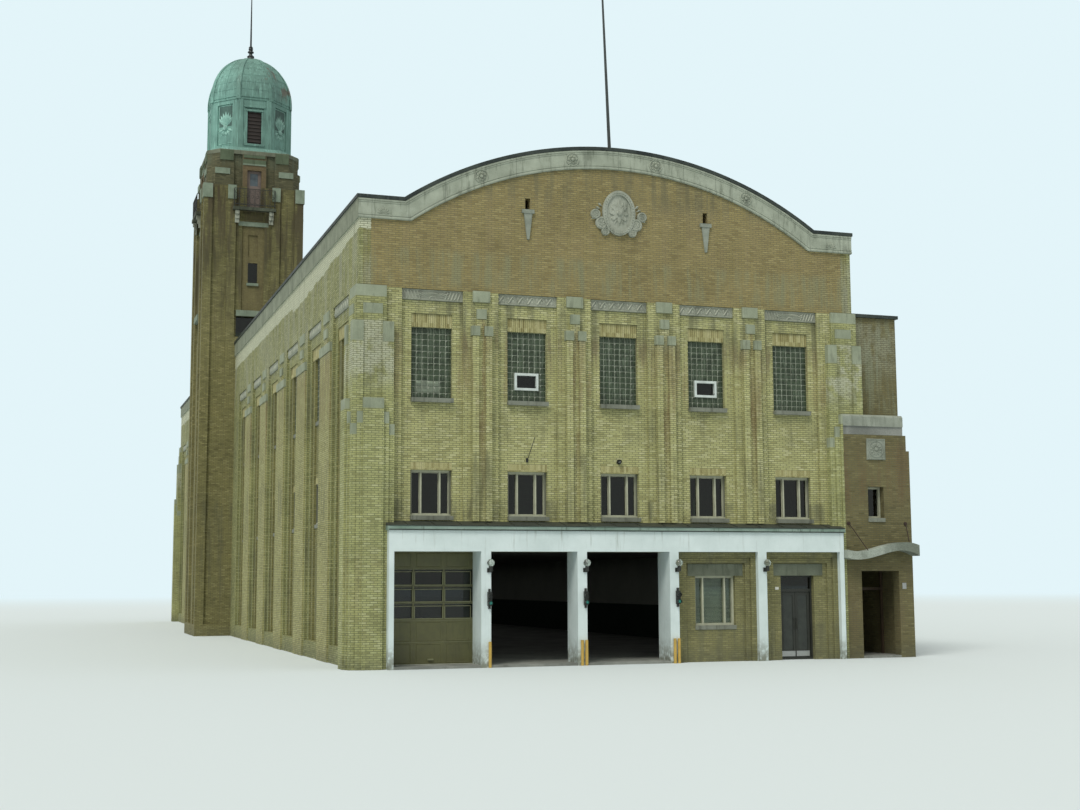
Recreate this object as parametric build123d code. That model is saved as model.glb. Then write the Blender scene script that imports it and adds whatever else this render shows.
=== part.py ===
"""Fire station with a vaulted hall, a white portico, an entrance wing and a domed hose tower.

Half-size model of the real building: every size is in millimetres of the model, so it is half
the real one. X runs along the street front, Y into the building and Z up. The origin is at
ground level, at the middle of the front wall's outer face.
"""

from build123d import *
import math
import os

os.makedirs("parts", exist_ok=True)

# Main hall
hall_width = 9090
hall_depth = 31000
wall = 200
slab = 40
floor_thickness = 150
first_floor = 2050
second_floor = 3850

# Arched parapet and vaulted roof
brick_shoulder = 7270
arch_rise = 1175
shoulder_width = 868
coping_height = 330
coping_projection = 25
flashing_height = 60
flashing_projection = 20
vault_drop = 100
vault_thickness = 120

# Bays of the front and rear walls
bay_count = 5
bay_margin = 420
bay_recess_width = 1040
bay_recess_depth = 60
frieze_top = 6150
frieze_height = 180
frieze_setback = 35
window_width = 694
soldier_height = 225
soldier_depth = 35
upper_sill_top = 4350
upper_window_height = 1175
lower_sill_top = 2430
lower_window_height = 745
sill_height = 70
sill_projection = 20
sill_ear = 8
window_setback = 130
block_thickness = 60
window_frame_depth = 50
window_frame_width = 35
mullion_width = 28
mullion_offset = 160
glass = 10
hopper_width = 420
hopper_height = 290
hopper_bottom = 4545
hopper_frame_width = 40
hopper_projection = 35
hopper_glass_setback = 30

# Pilasters between the bays: two ribs, a shaft between them and stone caps
rib_width = 110
rib_offset = 112
rib_projection = 90
shaft_projection = 45
rib_cap_bottom = 5405
rib_cap_height = 160
shaft_cap_bottom = 5690
shaft_cap_width = 166
shaft_cap_height = 165
head_cap_bottom = 5975
head_cap_width = 296
head_cap_height = 185
cap_lip = 15

# Bays of the side walls
side_margin = 195
side_tower_margin = 375
side_wing_margin = 655
front_side_count = 6
rear_side_count = 5
right_side_count = 10
side_recess_width = 1340
side_recess_depth = 50
side_recess_bottom = 300
side_step_width = 1000
side_window_width = 560
side_column_margin = 20
side_column_depth = 115
side_rib_width = 1000
side_rib_projection = 30
side_shaft_half = 150
side_shaft_projection = 20
side_shaft_cap_width = 300
side_head_cap_width = 520

# Corner piers: each half width is measured from the pier's middle on one face
corner_axis = 230
corner_shaft_width = 458
corner_shaft_projection = 50
corner_panel_half = 160
corner_panel_projection = 75
corner_rib_half = 340
corner_rib_top = 5230
corner_rib_cap_height = 330
corner_foot_half = 167
corner_foot_projection = 190
corner_foot_top = 4300
corner_foot_cap_height = 170
corner_flank_half = 260
corner_flank_projection = 155
corner_flank_top = 4080
corner_flank_cap_height = 190
corner_outer_half = 355
corner_outer_top = 3885
corner_outer_cap_height = 175

# Portico over the vehicle doors
portico_inset = 470
portico_depth = 300
door_head = 1850
pier_width = 165
end_pier_width = 85
beam_height = 335
portico_roof_fall = 45
portico_roof_height = 155
portico_roof_lip = 25

# Overhead door in the first bay
overhead_thickness = 30
overhead_lap = 30
overhead_blank = 285
overhead_rows = 3
overhead_columns = 3
overhead_row_height = 270
overhead_rail = 28

# Brick infill of the two right-hand bays
infill_setback = 90
infill_thickness = 235
infill_frame_width = 95
infill_frame_step = 35
infill_frame_steps = 2
infill_lintel_height = 205
infill_lintel_projection = 15
office_window_width = 750
office_window_height = 835
office_window_bottom = 610
office_lintel_width = 1030
office_mullion_offset = 205
entry_offset = -75
entry_width = 650
entry_head = 1445
entry_lintel_width = 985
entry_setback = 90
entry_frame_width = 30
entry_frame_depth = 50
transom_bottom = 1165
transom_bar = 50
leaf_gap = 6
leaf_thickness = 24
leaf_rail = 42
leaf_kick = 110
pivot_radius = 6
pivot_length = 16
pivot_clearance = 0.3
handle_length = 190
handle_radius = 6
handle_standoff = 22
handle_height = 520

# Entrance wing on the right
wing_width = 995
wing_overlap = 355
wing_front = 175
wing_upper_front = 150
wing_depth = 4650
wing_floor_top = 4100
wing_roof_top = 6140
wing_roof_slab = 120
wing_roof_drop = 200
wing_band_height = 210
wing_band_inset = 125
wing_band_projection = 20
wing_step_width = 62
wing_step_height = 215
wing_door_inset = 290
wing_door_width = 760
wing_door_head = 1520
wing_window_inset = 550
wing_window_width = 325
wing_window_bottom = 2460
wing_window_height = 555
wing_stone_inset = 500
wing_stone_size = 380
wing_stone_bottom = 3500
wing_stone_projection = 15
screen_setback = 700
screen_thickness = 40
screen_post = 50
screen_bar_bottom = 1180
canopy_gap = 5
canopy_right_inset = 15
canopy_projection = 260
canopy_bottom = 1750
canopy_thickness = 140
canopy_rise = 125
canopy_end_rise = 85
canopy_end_soffit = 35
canopy_stations = (0, 0.32, 0.7, 1)
stay_height = 2360
stay_run = 240
stay_radius = 8
stay_anchor_radius = 32
stay_anchor_depth = 18
stay_inset = 115
stay_lean = -0.2

# Hose tower
tower_proud = 905
tower_front = 15750
tower_width = 2640
tower_wall = 225
tower_shaft_top = 11900
tower_head_top = 12900
tower_step_one = 80
tower_step_two = 105
tower_step_height = 480
tower_chamfer_one = 200
tower_chamfer_two = 300
tower_roof_slab = 100
tower_rib = 225
tower_panel = 400
tower_panel_depth = 55
tower_recess_width = 950
tower_recess_depth = 70
tower_inner_recess_width = 590
tower_inner_recess_depth = 45
tower_groove_bottom = 7800
tower_cap_height = 380
head_groove_inner = 320
head_groove_outer = 540
head_groove_drop = 50
head_block_inner = 650
head_block_low = 310
head_block_height = 160
head_band_inner = 560
head_band_low = 700
head_band_height = 280
balcony_level = 11300
balcony_thickness = 85
balcony_width = 1130
balcony_projection = 130
balcony_rail_inset = 20
corbel_width = 110
corbel_height = 340
corbel_inset = 60
corbel_reaches = (0.8, 0.55, 0.3)
rail_height = 500
rail_bar = 14
rail_bars = 9
rail_gap = 60
balcony_door_width = 375
balcony_door_height = 1060
tower_window_width = 250
tower_window_bottom = 9280
tower_window_height = 550
tower_blind_bottom = 9990
tower_blind_height = 600
tower_blind_depth = 30
tower_vent_width = 850
tower_vent_bottom = 7820
tower_vent_height = 545
tower_lintel_height = 155
tower_stone_projection = 25
tower_glass_setback = 60
tower_sill_ear = 30

# Copper drum, dome and spire
drum_width = 2130
drum_height = 1475
drum_wall = 60
drum_skirt_height = 90
drum_skirt_projection = 50
drum_base_half = 1170
drum_base_chamfer = 450
drum_base_height = 120
drum_base_slope = 30
drum_fin_width = 130
drum_fin_projection = 28
louvre_width = 380
louvre_height = 900
louvre_bottom = 250
louvre_blades = 9
louvre_blade_thickness = 14
louvre_depth = 60
louvre_tilt = 30
louvre_back = 12
louvre_frame = 55
louvre_frame_head = 160
drum_panel_width = 500
drum_panel_height = 1120
drum_panel_bottom = 250
drum_panel_depth = 35
dome_upright = 105
dome_rise = 1370
dome_wall = 50
dome_lip = 12
dome_crown_drop = 8
finial_radius = 70
finial_height = 420
finial_turns = ((2.2, -45), (1.2, 90), (0.6, 190), (1.1, 240), (0.6, 290), (0.5, 330), (0.9, 370))
spire_radius = 26
spire_top = 18250

# Small pieces
pole_x = 275
pole_y = 1000
pole_top = 12250
pole_radius = 34
pole_lean = 2.15
pole_base_size = 260
pole_base_height = 200
globe_radius = 62
globe_height = 1665
lamp_arm_radius = 18
lamp_arm_length = 95
lamp_plate = 70
lamp_plate_drop = 90
lamp_arm_drop = 55
lamp_cup_radius = 31
lamp_cup_height = 96
lamp_cup_drop = 30
signal_bottom = 930
signal_height = 320
signal_width = 66
signal_depth = 60
signal_bracket = 50
lens_pitch = 110
lens_radius = 34
lens_depth = 30
lens_height = 95
guard_radius = 25
guard_height = 410
guard_gap = 0.3
guard_counts = (1, 2, 2)
medallion_half_width = 300
medallion_half_height = 395
medallion_z = 7680
medallion_relief = 55
medallion_ring = 70
medallion_petals = 8
petal_distance = 100
petal_half_width = 34
petal_half_length = 75
petal_relief = 44
flower_heart_radius = 38
scroll_relief = 38
scroll_radius = 110
scroll_places = ((320, -190, 1.0), (430, -40, 0.8), (250, -330, 0.7))
slit_width = 90
slit_bottom = 7620
slit_height = 200
drop_sill_width = 215
drop_sill_height = 65
drop_width = 150
drop_length = 450
drop_relief = 40
drop_taper = 0.25
drop_taper_relief = 30

half = hall_width / 2
inner = half - wall
back = hall_depth - wall
arch_span = half - shoulder_width
arch_radius = (arch_span**2 + arch_rise**2) / (2 * arch_rise)
arch_centre = brick_shoulder + arch_rise - arch_radius
bay_pitch = (hall_width - 2 * bay_margin) / bay_count
bay_centres = [bay_pitch * (i - (bay_count - 1) / 2) for i in range(bay_count)]
pilaster_centres = [x + bay_pitch / 2 for x in bay_centres[:-1]]
portico_half = half - portico_inset
entry_left = bay_centres[4] + entry_offset - entry_width / 2
entry_right = entry_left + entry_width
infill_face = infill_setback - portico_depth + infill_frame_steps * infill_frame_step
wing_right = half + wing_width
wing_left = half - wing_overlap
wing_band_right = wing_right - wing_band_inset
wing_door_right = wing_right - wing_door_inset
wing_door_left = wing_door_right - wing_door_width
wing_window_left = wing_right - wing_window_inset - wing_window_width
wing_stone_left = wing_right - wing_stone_inset - wing_stone_size
canopy_left = portico_half + canopy_gap
canopy_right = wing_right - canopy_right_inset
tower_centre_x = tower_width / 2 - half - tower_proud
portico_top = door_head + beam_height
recess_bottom = portico_top + portico_roof_height
tower_left = tower_centre_x - tower_width / 2
tower_right = tower_centre_x + tower_width / 2
tower_back = tower_front + tower_width
tower_centre_y = tower_front + tower_width / 2
coping_top = brick_shoulder + coping_height
front_pitch = (tower_front - side_margin - side_tower_margin) / front_side_count
front_side_bays = [side_margin + front_pitch * (i + 0.5) for i in range(front_side_count)]
rear_pitch = (hall_depth - side_margin - tower_back) / rear_side_count
rear_side_bays = [tower_back + rear_pitch * (i + 0.5) for i in range(rear_side_count)]
left_side_bays = front_side_bays + rear_side_bays
wing_end = wing_depth + side_wing_margin
right_pitch = (hall_depth - side_margin - wing_end) / right_side_count
right_side_bays = [wing_end + right_pitch * (i + 0.5) for i in range(right_side_count)]
nodes = {}


def block(x0, x1, y0, y1, z0, z1):
    """A plain block between two corners."""
    return Pos((x0 + x1) / 2, (y0 + y1) / 2, (z0 + z1) / 2) * Box(x1 - x0, y1 - y0, z1 - z0)


def across(outline, y0, y1):
    """An outline drawn in X and Z, extruded from y0 to y1."""
    return Pos(0, y1, 0) * extrude(Plane.XZ * outline, amount=y1 - y0)


def along(outline, x0, x1):
    """An outline drawn in Y and Z, extruded from x0 to x1."""
    return Pos(x0, 0, 0) * extrude(Plane.YZ * outline, amount=x1 - x0)


def other_side(shape):
    """The same shape on the other side of the building's centre line."""
    return mirror(shape, about=Plane.YZ)


def at_rear(shape):
    """The same shape at the other end of the hall."""
    return mirror(shape, about=Plane.XZ.offset(-hall_depth / 2))


def save(node, *shapes):
    """Puts the solids of some shapes in the node that has this name."""
    nodes.setdefault(node, []).extend(solid for shape in shapes for solid in shape.solids())


def gable_outline(rise, half_width):
    """The arched outline of the front, raised by rise above its brickwork."""
    shoulder = brick_shoulder + rise
    body = Pos(0, shoulder / 2) * Rectangle(2 * half_width, shoulder)
    above = Pos(0, shoulder + arch_radius / 2) * Rectangle(2 * arch_radius, arch_radius)
    arch = Pos(0, arch_centre) * Circle(arch_radius + rise)
    return body + (arch & above)


def floor_slabs():
    """The concrete ground floor with its sills at the vehicle doors."""
    plate = block(-inner, inner, wall, back, 0, slab)
    for x in bay_centres[:3]:
        clear = (bay_pitch - pier_width) / 2
        left = max(x - clear, end_pier_width - portico_half)
        plate += block(left, x + clear, -portico_depth, wall, 0, slab)
    infill_back = infill_setback - portico_depth + infill_thickness
    for x in bay_centres[3:]:
        right = min(x + clear, portico_half - end_pier_width)
        plate += block(x - clear, right, infill_back, wall, 0, slab)
    frame_back = infill_face + entry_setback + entry_frame_depth
    plate += block(entry_left, entry_right, frame_back, infill_back, 0, slab)
    tower = block(tower_left, tower_right, tower_front, tower_back, 0, slab)
    save("ground_floors", plate - tower)


def upper_floors():
    """The floors behind the two window rows, cut round the tower."""
    tower = block(tower_left, tower_right, tower_front, tower_back, 0, tower_shaft_top)
    for top in (first_floor, second_floor):
        save("upper_floors", block(-inner, inner, wall, back, top - floor_thickness, top) - tower)


def window_cuts(x):
    """The two window openings of a bay, each with room for its sill."""
    cuts = []
    for top, height in ((upper_sill_top, upper_window_height), (lower_sill_top, lower_window_height)):
        x0 = x - window_width / 2
        cuts.append(block(x0, x0 + window_width, 0, wall, top - sill_height, top + height))
    z0 = upper_sill_top + upper_window_height
    x0 = x - window_width / 2
    cuts.append(block(x0, x0 + window_width, 0, bay_recess_depth + soldier_depth, z0, z0 + soldier_height))
    return cuts


def bay_cuts(bottom):
    """The shallow recesses of the five bays and the windows in them."""
    cuts = []
    for x in bay_centres:
        x0 = x - bay_recess_width / 2
        cuts.append(block(x0, x0 + bay_recess_width, 0, bay_recess_depth, bottom, frieze_top))
        cuts += window_cuts(x)
    return cuts


def front_walls():
    """The front wall and its gable, and the rear wall in one piece."""
    cuts = bay_cuts(recess_bottom)
    whole = across(gable_outline(0, inner), 0, wall)
    above_doors = whole - block(-half, half, 0, wall, 0, door_head)
    slits = []
    for x in (-bay_pitch, bay_pitch):
        x0 = x - slit_width / 2
        slits.append(block(x0, x0 + slit_width, 0, wall, slit_bottom, slit_bottom + slit_height))
    carved = above_doors - cuts - slits
    ceiling = coping_top + arch_radius
    bands = (("front_wall", door_head, frieze_top), ("front_gable", frieze_top, ceiling))
    for node, low, high in bands:
        save(node, carved & block(-half, half, 0, wall, low, high))
    save("rear_wall", at_rear(whole - bay_cuts(side_recess_bottom)))


def side_wall(x_face, inward, y0, y1, bays):
    """A side wall whose outer face is at x_face, with recessed bays and two window rows."""
    x_in = x_face + inward * wall
    shape = block(min(x_face, x_in), max(x_face, x_in), y0, y1, 0, brick_shoulder)
    head = upper_sill_top + upper_window_height
    steps = (
        (side_recess_width, side_recess_depth, frieze_top),
        (side_step_width, side_recess_depth + soldier_depth, head + soldier_height),
        (side_window_width + 2 * side_column_margin, side_column_depth, head),
    )
    for y in bays:
        for width, depth, top in steps:
            low, high = sorted((x_face, x_face + inward * depth))
            shape -= block(low, high, y - width / 2, y + width / 2, side_recess_bottom, top)
        for top, height in ((upper_sill_top, upper_window_height), (lower_sill_top, lower_window_height)):
            y_low = y - side_window_width / 2
            y_high = y + side_window_width / 2
            low, high = min(x_face, x_in), max(x_face, x_in)
            shape -= block(low, high, y_low, y_high, top - sill_height, top + height)
    return shape


def side_walls():
    """The side walls, the left one in two lengths with the tower between them."""
    save("left_wall", side_wall(-half, 1, 0, tower_front, front_side_bays))
    save("left_wall", side_wall(-half, 1, tower_back, hall_depth, rear_side_bays))
    save("right_wall", side_wall(half, -1, 0, hall_depth, right_side_bays))


def vault():
    """The barrel roof that follows the arch of the front."""
    outer = Pos(0, arch_centre) * Circle(arch_radius - vault_drop)
    under = Pos(0, arch_centre) * Circle(arch_radius - vault_drop - vault_thickness)
    span = Pos(0, arch_centre + arch_radius / 2) * Rectangle(2 * inner, arch_radius)
    shell = across((outer - under) & span, wall, back)
    return shell - block(tower_left, tower_right, tower_front, tower_back, 0, tower_shaft_top)


def copings():
    """Stone copings on the parapets and the metal flashing on them."""
    reach = half + coping_projection
    stone = gable_outline(coping_height, reach) - gable_outline(0, reach)
    front = across(stone, -coping_projection, wall)
    save("copings", front, at_rear(front))
    edge = reach + flashing_projection
    cover = gable_outline(coping_height + flashing_height, edge) - gable_outline(coping_height, edge)
    front_cover = across(cover, -coping_projection - flashing_projection, wall)
    save("parapet_flashings", front_cover, at_rear(front_cover))
    lengths = (
        (-1, wall, tower_front),
        (-1, tower_back, back),
        (1, wall, back),
    )
    stones = []
    covers = []
    for side, y0, y1 in lengths:
        x0, x1 = sorted((side * inner, side * reach))
        stones.append(block(x0, x1, y0, y1, brick_shoulder, coping_top))
        x0, x1 = sorted((side * inner, side * edge))
        covers.append(block(x0, x1, y0, y1, coping_top, coping_top + flashing_height))
    save("copings", *stones)
    save("parapet_flashings", *covers)


def friezes():
    """Stone panels at the head of each bay."""
    low = frieze_top - frieze_height
    front = []
    for x in bay_centres:
        x0 = x - bay_recess_width / 2
        front.append(block(x0, x0 + bay_recess_width, frieze_setback, bay_recess_depth, low, frieze_top))
    save("friezes", *front)
    save("friezes", *[at_rear(panel) for panel in front])
    side = []
    for sign, bays in ((-1, left_side_bays), (1, right_side_bays)):
        x0, x1 = sorted((sign * (half - side_recess_depth), sign * (half - frieze_setback)))
        for y in bays:
            y0 = y - side_recess_width / 2
            side.append(block(x0, x1, y0, y0 + side_recess_width, low, frieze_top))
    save("friezes", *side)


def pilaster(low, rib_places, sizes):
    """A pilaster against the plane Y = 0, at X = 0: brick ribs and shaft, then its stone caps."""
    width, shaft_half, ribs, shaft, shaft_cap, head_cap = sizes
    brick = block(-shaft_half, shaft_half, -shaft, 0, low, shaft_cap_bottom)
    caps = []
    for x in rib_places:
        x0, x1 = x - width / 2, x + width / 2
        brick += block(x0, x1, -ribs, 0, low, rib_cap_bottom)
        top = rib_cap_bottom + rib_cap_height
        cap = block(x0 - cap_lip, x1 + cap_lip, -ribs - cap_lip, 0, rib_cap_bottom, top)
        caps.append(cap - block(-shaft_half, shaft_half, -shaft, 0, low, shaft_cap_bottom))
    top = rib_cap_bottom + rib_cap_height
    brick -= block(-shaft_cap - shaft_half, -shaft_cap / 2, -shaft, 0, top, frieze_top)
    brick -= block(shaft_cap / 2, shaft_cap + shaft_half, -shaft, 0, top, frieze_top)
    x1 = shaft_cap / 2
    top = shaft_cap_bottom + shaft_cap_height
    caps.append(block(-x1, x1, -shaft - cap_lip, 0, shaft_cap_bottom, top))
    x1 = head_cap / 2
    top = head_cap_bottom + head_cap_height
    caps.append(block(-x1, x1, -shaft, 0, head_cap_bottom, top))
    return brick, caps


def pilasters():
    """Pilasters between the bays: paired ribs at the front and rear, one broad rib on the sides."""
    rib_places = (-rib_offset, rib_offset)
    sizes = (rib_width, rib_offset, rib_projection, shaft_projection, shaft_cap_width, head_cap_width)
    brick, caps = pilaster(recess_bottom, rib_places, sizes)
    front_caps = [Pos(x, 0, 0) * cap for x in pilaster_centres for cap in caps]
    save("pilasters", *[Pos(x, 0, 0) * brick for x in pilaster_centres])
    save("pilaster_caps", *front_caps)
    brick, caps = pilaster(0, rib_places, sizes)
    save("pilasters", *[at_rear(Pos(x, 0, 0) * brick) for x in pilaster_centres])
    rear_caps = [at_rear(Pos(x, 0, 0) * cap) for x in pilaster_centres for cap in caps]
    save("pilaster_caps", *rear_caps)
    sizes = (
        side_rib_width,
        side_shaft_half,
        side_rib_projection,
        side_shaft_projection,
        side_shaft_cap_width,
        side_head_cap_width,
    )
    brick, caps = pilaster(0, (0,), sizes)
    bricks = []
    stones = []
    for sign, bays in ((-1, left_side_bays), (1, right_side_bays)):
        ordered = sorted(bays)
        for y0, y1 in zip(ordered, ordered[1:]):
            if sign < 0 and y0 < tower_front < y1:
                continue
            turn = Pos(sign * half, (y0 + y1) / 2, 0) * Rot(0, 0, 90 * sign)
            bricks.append(turn * brick)
            stones += [turn * cap for cap in caps]
    save("pilasters", *bricks)
    save("pilaster_caps", *stones)


def pier_posts(inner_edge, outer_edge, projection, low, high):
    """Posts of a corner pier at Z low to high, alike on both faces, each side of their middle."""
    posts = []
    axis = corner_axis
    spans = [(axis + inner_edge, axis + outer_edge), (axis - outer_edge, axis - inner_edge)]
    if inner_edge == 0:
        spans = [(axis - outer_edge, axis + outer_edge)]
    for u0, u1 in spans:
        deep = max(u1, 0) if u0 < 0 else 0
        front = block(u0, u1, -projection, deep, low, high)
        side = block(-projection, deep, u0, u1, low, high)
        posts += [front + side] if u0 < 0 else [front, side]
    return posts


def corner_pier():
    """The stepped pier round the front left corner, and its stone caps."""
    rib = corner_rib_half - corner_axis
    outer = corner_outer_half - corner_axis
    tiers = (
        (0, corner_panel_half, corner_panel_projection, shaft_cap_bottom, shaft_cap_height),
        (corner_panel_half, corner_rib_half, rib, corner_rib_top, corner_rib_cap_height),
        (0, corner_foot_half, corner_foot_projection, corner_foot_top, -corner_foot_cap_height),
        (corner_foot_half, corner_flank_half, corner_flank_projection, corner_flank_top, -corner_flank_cap_height),
        (corner_flank_half, corner_outer_half, outer, corner_outer_top, -corner_outer_cap_height),
    )
    width = corner_shaft_width
    proud = corner_shaft_projection
    brick = block(-proud, width, -proud, width, 0, head_cap_bottom)
    caps = [block(-proud, width, -proud, width, head_cap_bottom, head_cap_bottom + head_cap_height)]
    for inner_edge, outer_edge, projection, top, cap in tiers:
        seat = top + min(cap, 0)
        for post in pier_posts(inner_edge, outer_edge, projection, 0, seat):
            brick += post
        caps += pier_posts(inner_edge, outer_edge, projection, seat, top + max(cap, 0))
    hall = block(0, hall_width, 0, hall_depth, 0, brick_shoulder)
    corner = Pos(-half, 0, 0)
    stones = [corner * solid for cap in caps for solid in (cap - hall - brick).solids()]
    return corner * (brick - hall), stones


def corner_piers(brick, stones):
    """Stepped piers at the four corners of the hall."""
    filler = block(-inner, -portico_half, 0, wall, 0, door_head)
    under_portico = block(-portico_half, portico_half, -2 * portico_depth, 0, 0, portico_top)
    wing = wing_volume()
    front_left = (brick - under_portico) + filler
    front_right = other_side(front_left) - wing
    save("corner_piers", front_left, front_right, at_rear(brick), at_rear(other_side(brick)))
    caps = list(stones)
    for stone in stones:
        cut = other_side(stone) - wing
        caps += cut.solids()
        caps += [at_rear(stone), at_rear(other_side(stone))]
    save("corner_caps", *caps)


def wing_volume():
    """The space that the entrance wing takes from the corner it is built against."""
    low = block(wing_left, wing_right, -2 * portico_depth, wing_depth, 0, wing_floor_top + wing_band_height)
    high = block(half, wing_right, wing_upper_front, wing_depth, 0, brick_shoulder)
    return low + high


def window_set(width, height, bottom, depth, mullion):
    """A metal frame with three lights, with mullions each side of its middle, standing at Y = 0."""
    x1 = width / 2
    frame = block(-x1, x1, 0, depth, bottom, bottom + height)
    rail = window_frame_width
    low, high = bottom + rail, bottom + height - rail
    edges = (-x1 + rail, -mullion - mullion_width / 2, -mullion + mullion_width / 2)
    edges += (mullion - mullion_width / 2, mullion + mullion_width / 2, x1 - rail)
    for left, right in zip(edges[::2], edges[1::2]):
        frame -= block(left, right, 0, depth, low, high)
    pane = block(-x1, x1, depth, depth + glass, bottom, bottom + height)
    return frame, pane


def sill(width, top, face, setback, projection):
    """A stone sill at X = 0 whose wall face is at Y = face."""
    x1 = width / 2
    shape = block(-x1, x1, face, face + setback, top - sill_height, top)
    return shape + block(-x1 - sill_ear, x1 + sill_ear, face - projection, face, top - sill_height, top)


def front_windows():
    """Glass block above and metal windows below, in the front and rear walls."""
    width = window_width
    frame, pane = window_set(width, lower_window_height, lower_sill_top, window_frame_depth, mullion_offset)
    x1 = width / 2
    top = upper_sill_top + upper_window_height
    blocks = block(-x1, x1, 0, block_thickness, upper_sill_top, top)
    projection = bay_recess_depth + sill_projection
    depth = wall - bay_recess_depth
    low_sill = sill(width, lower_sill_top, bay_recess_depth, depth, projection)
    high_sill = sill(width, upper_sill_top, bay_recess_depth, depth, projection)
    x1 = hopper_width / 2
    high = hopper_bottom + hopper_height
    hole = block(-x1, x1, -hopper_projection, block_thickness, hopper_bottom, high)
    rail = hopper_frame_width
    low = hopper_bottom + rail
    light = block(-x1 + rail, x1 - rail, -hopper_projection, block_thickness, low, high - rail)
    pane_room = block(-x1, x1, hopper_glass_setback, hopper_glass_setback + glass, 0, top)
    place = [Pos(x, window_setback, 0) for x in bay_centres]
    sills = [Pos(x, 0, 0) * shape for x in bay_centres for shape in (low_sill, high_sill)]
    front_blocks = [spot * blocks for spot in place]
    hoppers = []
    panes = []
    for index in (1, 3):
        front_blocks[index] -= place[index] * hole
        hoppers.append(place[index] * (hole - light))
        panes.append(place[index] * (light & pane_room))
    save("glass_blocks", *front_blocks)
    save("hopper_frames", *hoppers)
    save("window_frames", *[spot * frame for spot in place])
    save("window_glass", *[spot * pane for spot in place], *panes)
    save("glass_blocks", *[at_rear(spot * blocks) for spot in place])
    save("window_frames", *[at_rear(spot * frame) for spot in place])
    save("window_glass", *[at_rear(spot * pane) for spot in place])
    save("window_sills", *sills, *[at_rear(shape) for shape in sills])


def side_windows():
    """The same two window rows in the side walls."""
    depth = wall - side_column_depth
    width = side_window_width
    mullion = mullion_offset * side_window_width / window_width
    frame, pane = window_set(width, lower_window_height, lower_sill_top, window_frame_depth, mullion)
    top = upper_sill_top + upper_window_height
    blocks = block(-width / 2, width / 2, 0, block_thickness, upper_sill_top, top)
    sills = [
        sill(width, top, side_column_depth, depth, sill_projection)
        for top in (lower_sill_top, upper_sill_top)
    ]
    pieces = {"glass_blocks": [], "window_frames": [], "window_glass": [], "window_sills": []}
    for sign, bays in ((-1, left_side_bays), (1, right_side_bays)):
        for y in bays:
            turn = Pos(sign * half, y, 0) * Rot(0, 0, 90 * sign)
            inside = turn * Pos(0, window_setback, 0)
            pieces["glass_blocks"].append(inside * blocks)
            pieces["window_frames"].append(inside * frame)
            pieces["window_glass"].append(inside * pane)
            pieces["window_sills"] += [turn * shape for shape in sills]
    for node, shapes in pieces.items():
        save(node, *shapes)


def portico(pier):
    """White piers, the deep white beam they carry, and the sloping metal roof on it."""
    piers = []
    for x in pilaster_centres:
        x0 = x - pier_width / 2
        piers.append(block(x0, x0 + pier_width, -portico_depth, wall, 0, door_head))
    end = portico_half - end_pier_width
    piers.append(block(end, portico_half, -portico_depth, wall, 0, door_head))
    piers.append(block(-portico_half, -end, -portico_depth, wall, 0, door_head))
    save("portico_piers", *piers)
    beam = block(-portico_half, portico_half, -portico_depth, 0, door_head, portico_top)
    save("portico_beam", beam)
    reach = -portico_depth - portico_roof_lip
    edge = portico_top + portico_roof_height - portico_roof_fall - portico_roof_lip
    outline = Polyline((0, portico_top), (reach, portico_top), (reach, edge), (0, recess_bottom), close=True)
    roof_half = portico_half + portico_roof_lip
    roof = along(make_face(outline), -roof_half, roof_half)
    whole = roof - pier - other_side(pier) - wing_volume()
    largest = sorted(whole.solids(), key=lambda solid: solid.volume)
    save("portico_roof", largest[-1])


def overhead_door():
    """The closed sectional door of the first bay: a blank panel, glazed rows and solid rows."""
    clear = (bay_pitch - pier_width) / 2
    x = bay_centres[0]
    x0 = x - clear - overhead_lap
    x1 = x + clear + overhead_lap
    y0 = wall
    y1 = wall + overhead_thickness
    top = first_floor - floor_thickness
    door = block(x0, x1, y0, y1, slab, top)
    pitch = (x1 - x0 - overhead_rail) / overhead_columns
    high = door_head - overhead_blank
    for row in range(overhead_rows):
        z1 = high - row * overhead_row_height
        for column in range(overhead_columns):
            left = x0 + overhead_rail + column * pitch
            z0 = z1 - overhead_row_height + overhead_rail
            door -= block(left, left + pitch - overhead_rail, y0, y1, z0, z1)
    low = high - overhead_rows * overhead_row_height
    save("overhead_door", door)
    save("window_glass", block(x0, x1, y1, y1 + glass, low, high + overhead_rail))


def infill(x_low, x_high):
    """Brickwork between two piers, with a stepped frame standing proud round its edge."""
    front = infill_setback - portico_depth
    shape = block(x_low, x_high, infill_face, front + infill_thickness, 0, door_head)
    for i in range(infill_frame_steps):
        y0 = front + i * infill_frame_step
        y1 = y0 + infill_frame_step
        rail = (i + 1) * infill_frame_width
        frame = block(x_low, x_high, y0, y1, 0, door_head)
        shape += frame - block(x_low + rail, x_high - rail, y0, y1, 0, door_head - rail)
    return shape


def infill_lintel(x, width, bottom):
    """A stone lintel through the infill, centred on x."""
    y1 = infill_setback - portico_depth + infill_thickness
    y0 = infill_face - infill_lintel_projection
    return block(x - width / 2, x + width / 2, y0, y1, bottom, bottom + infill_lintel_height)


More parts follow.
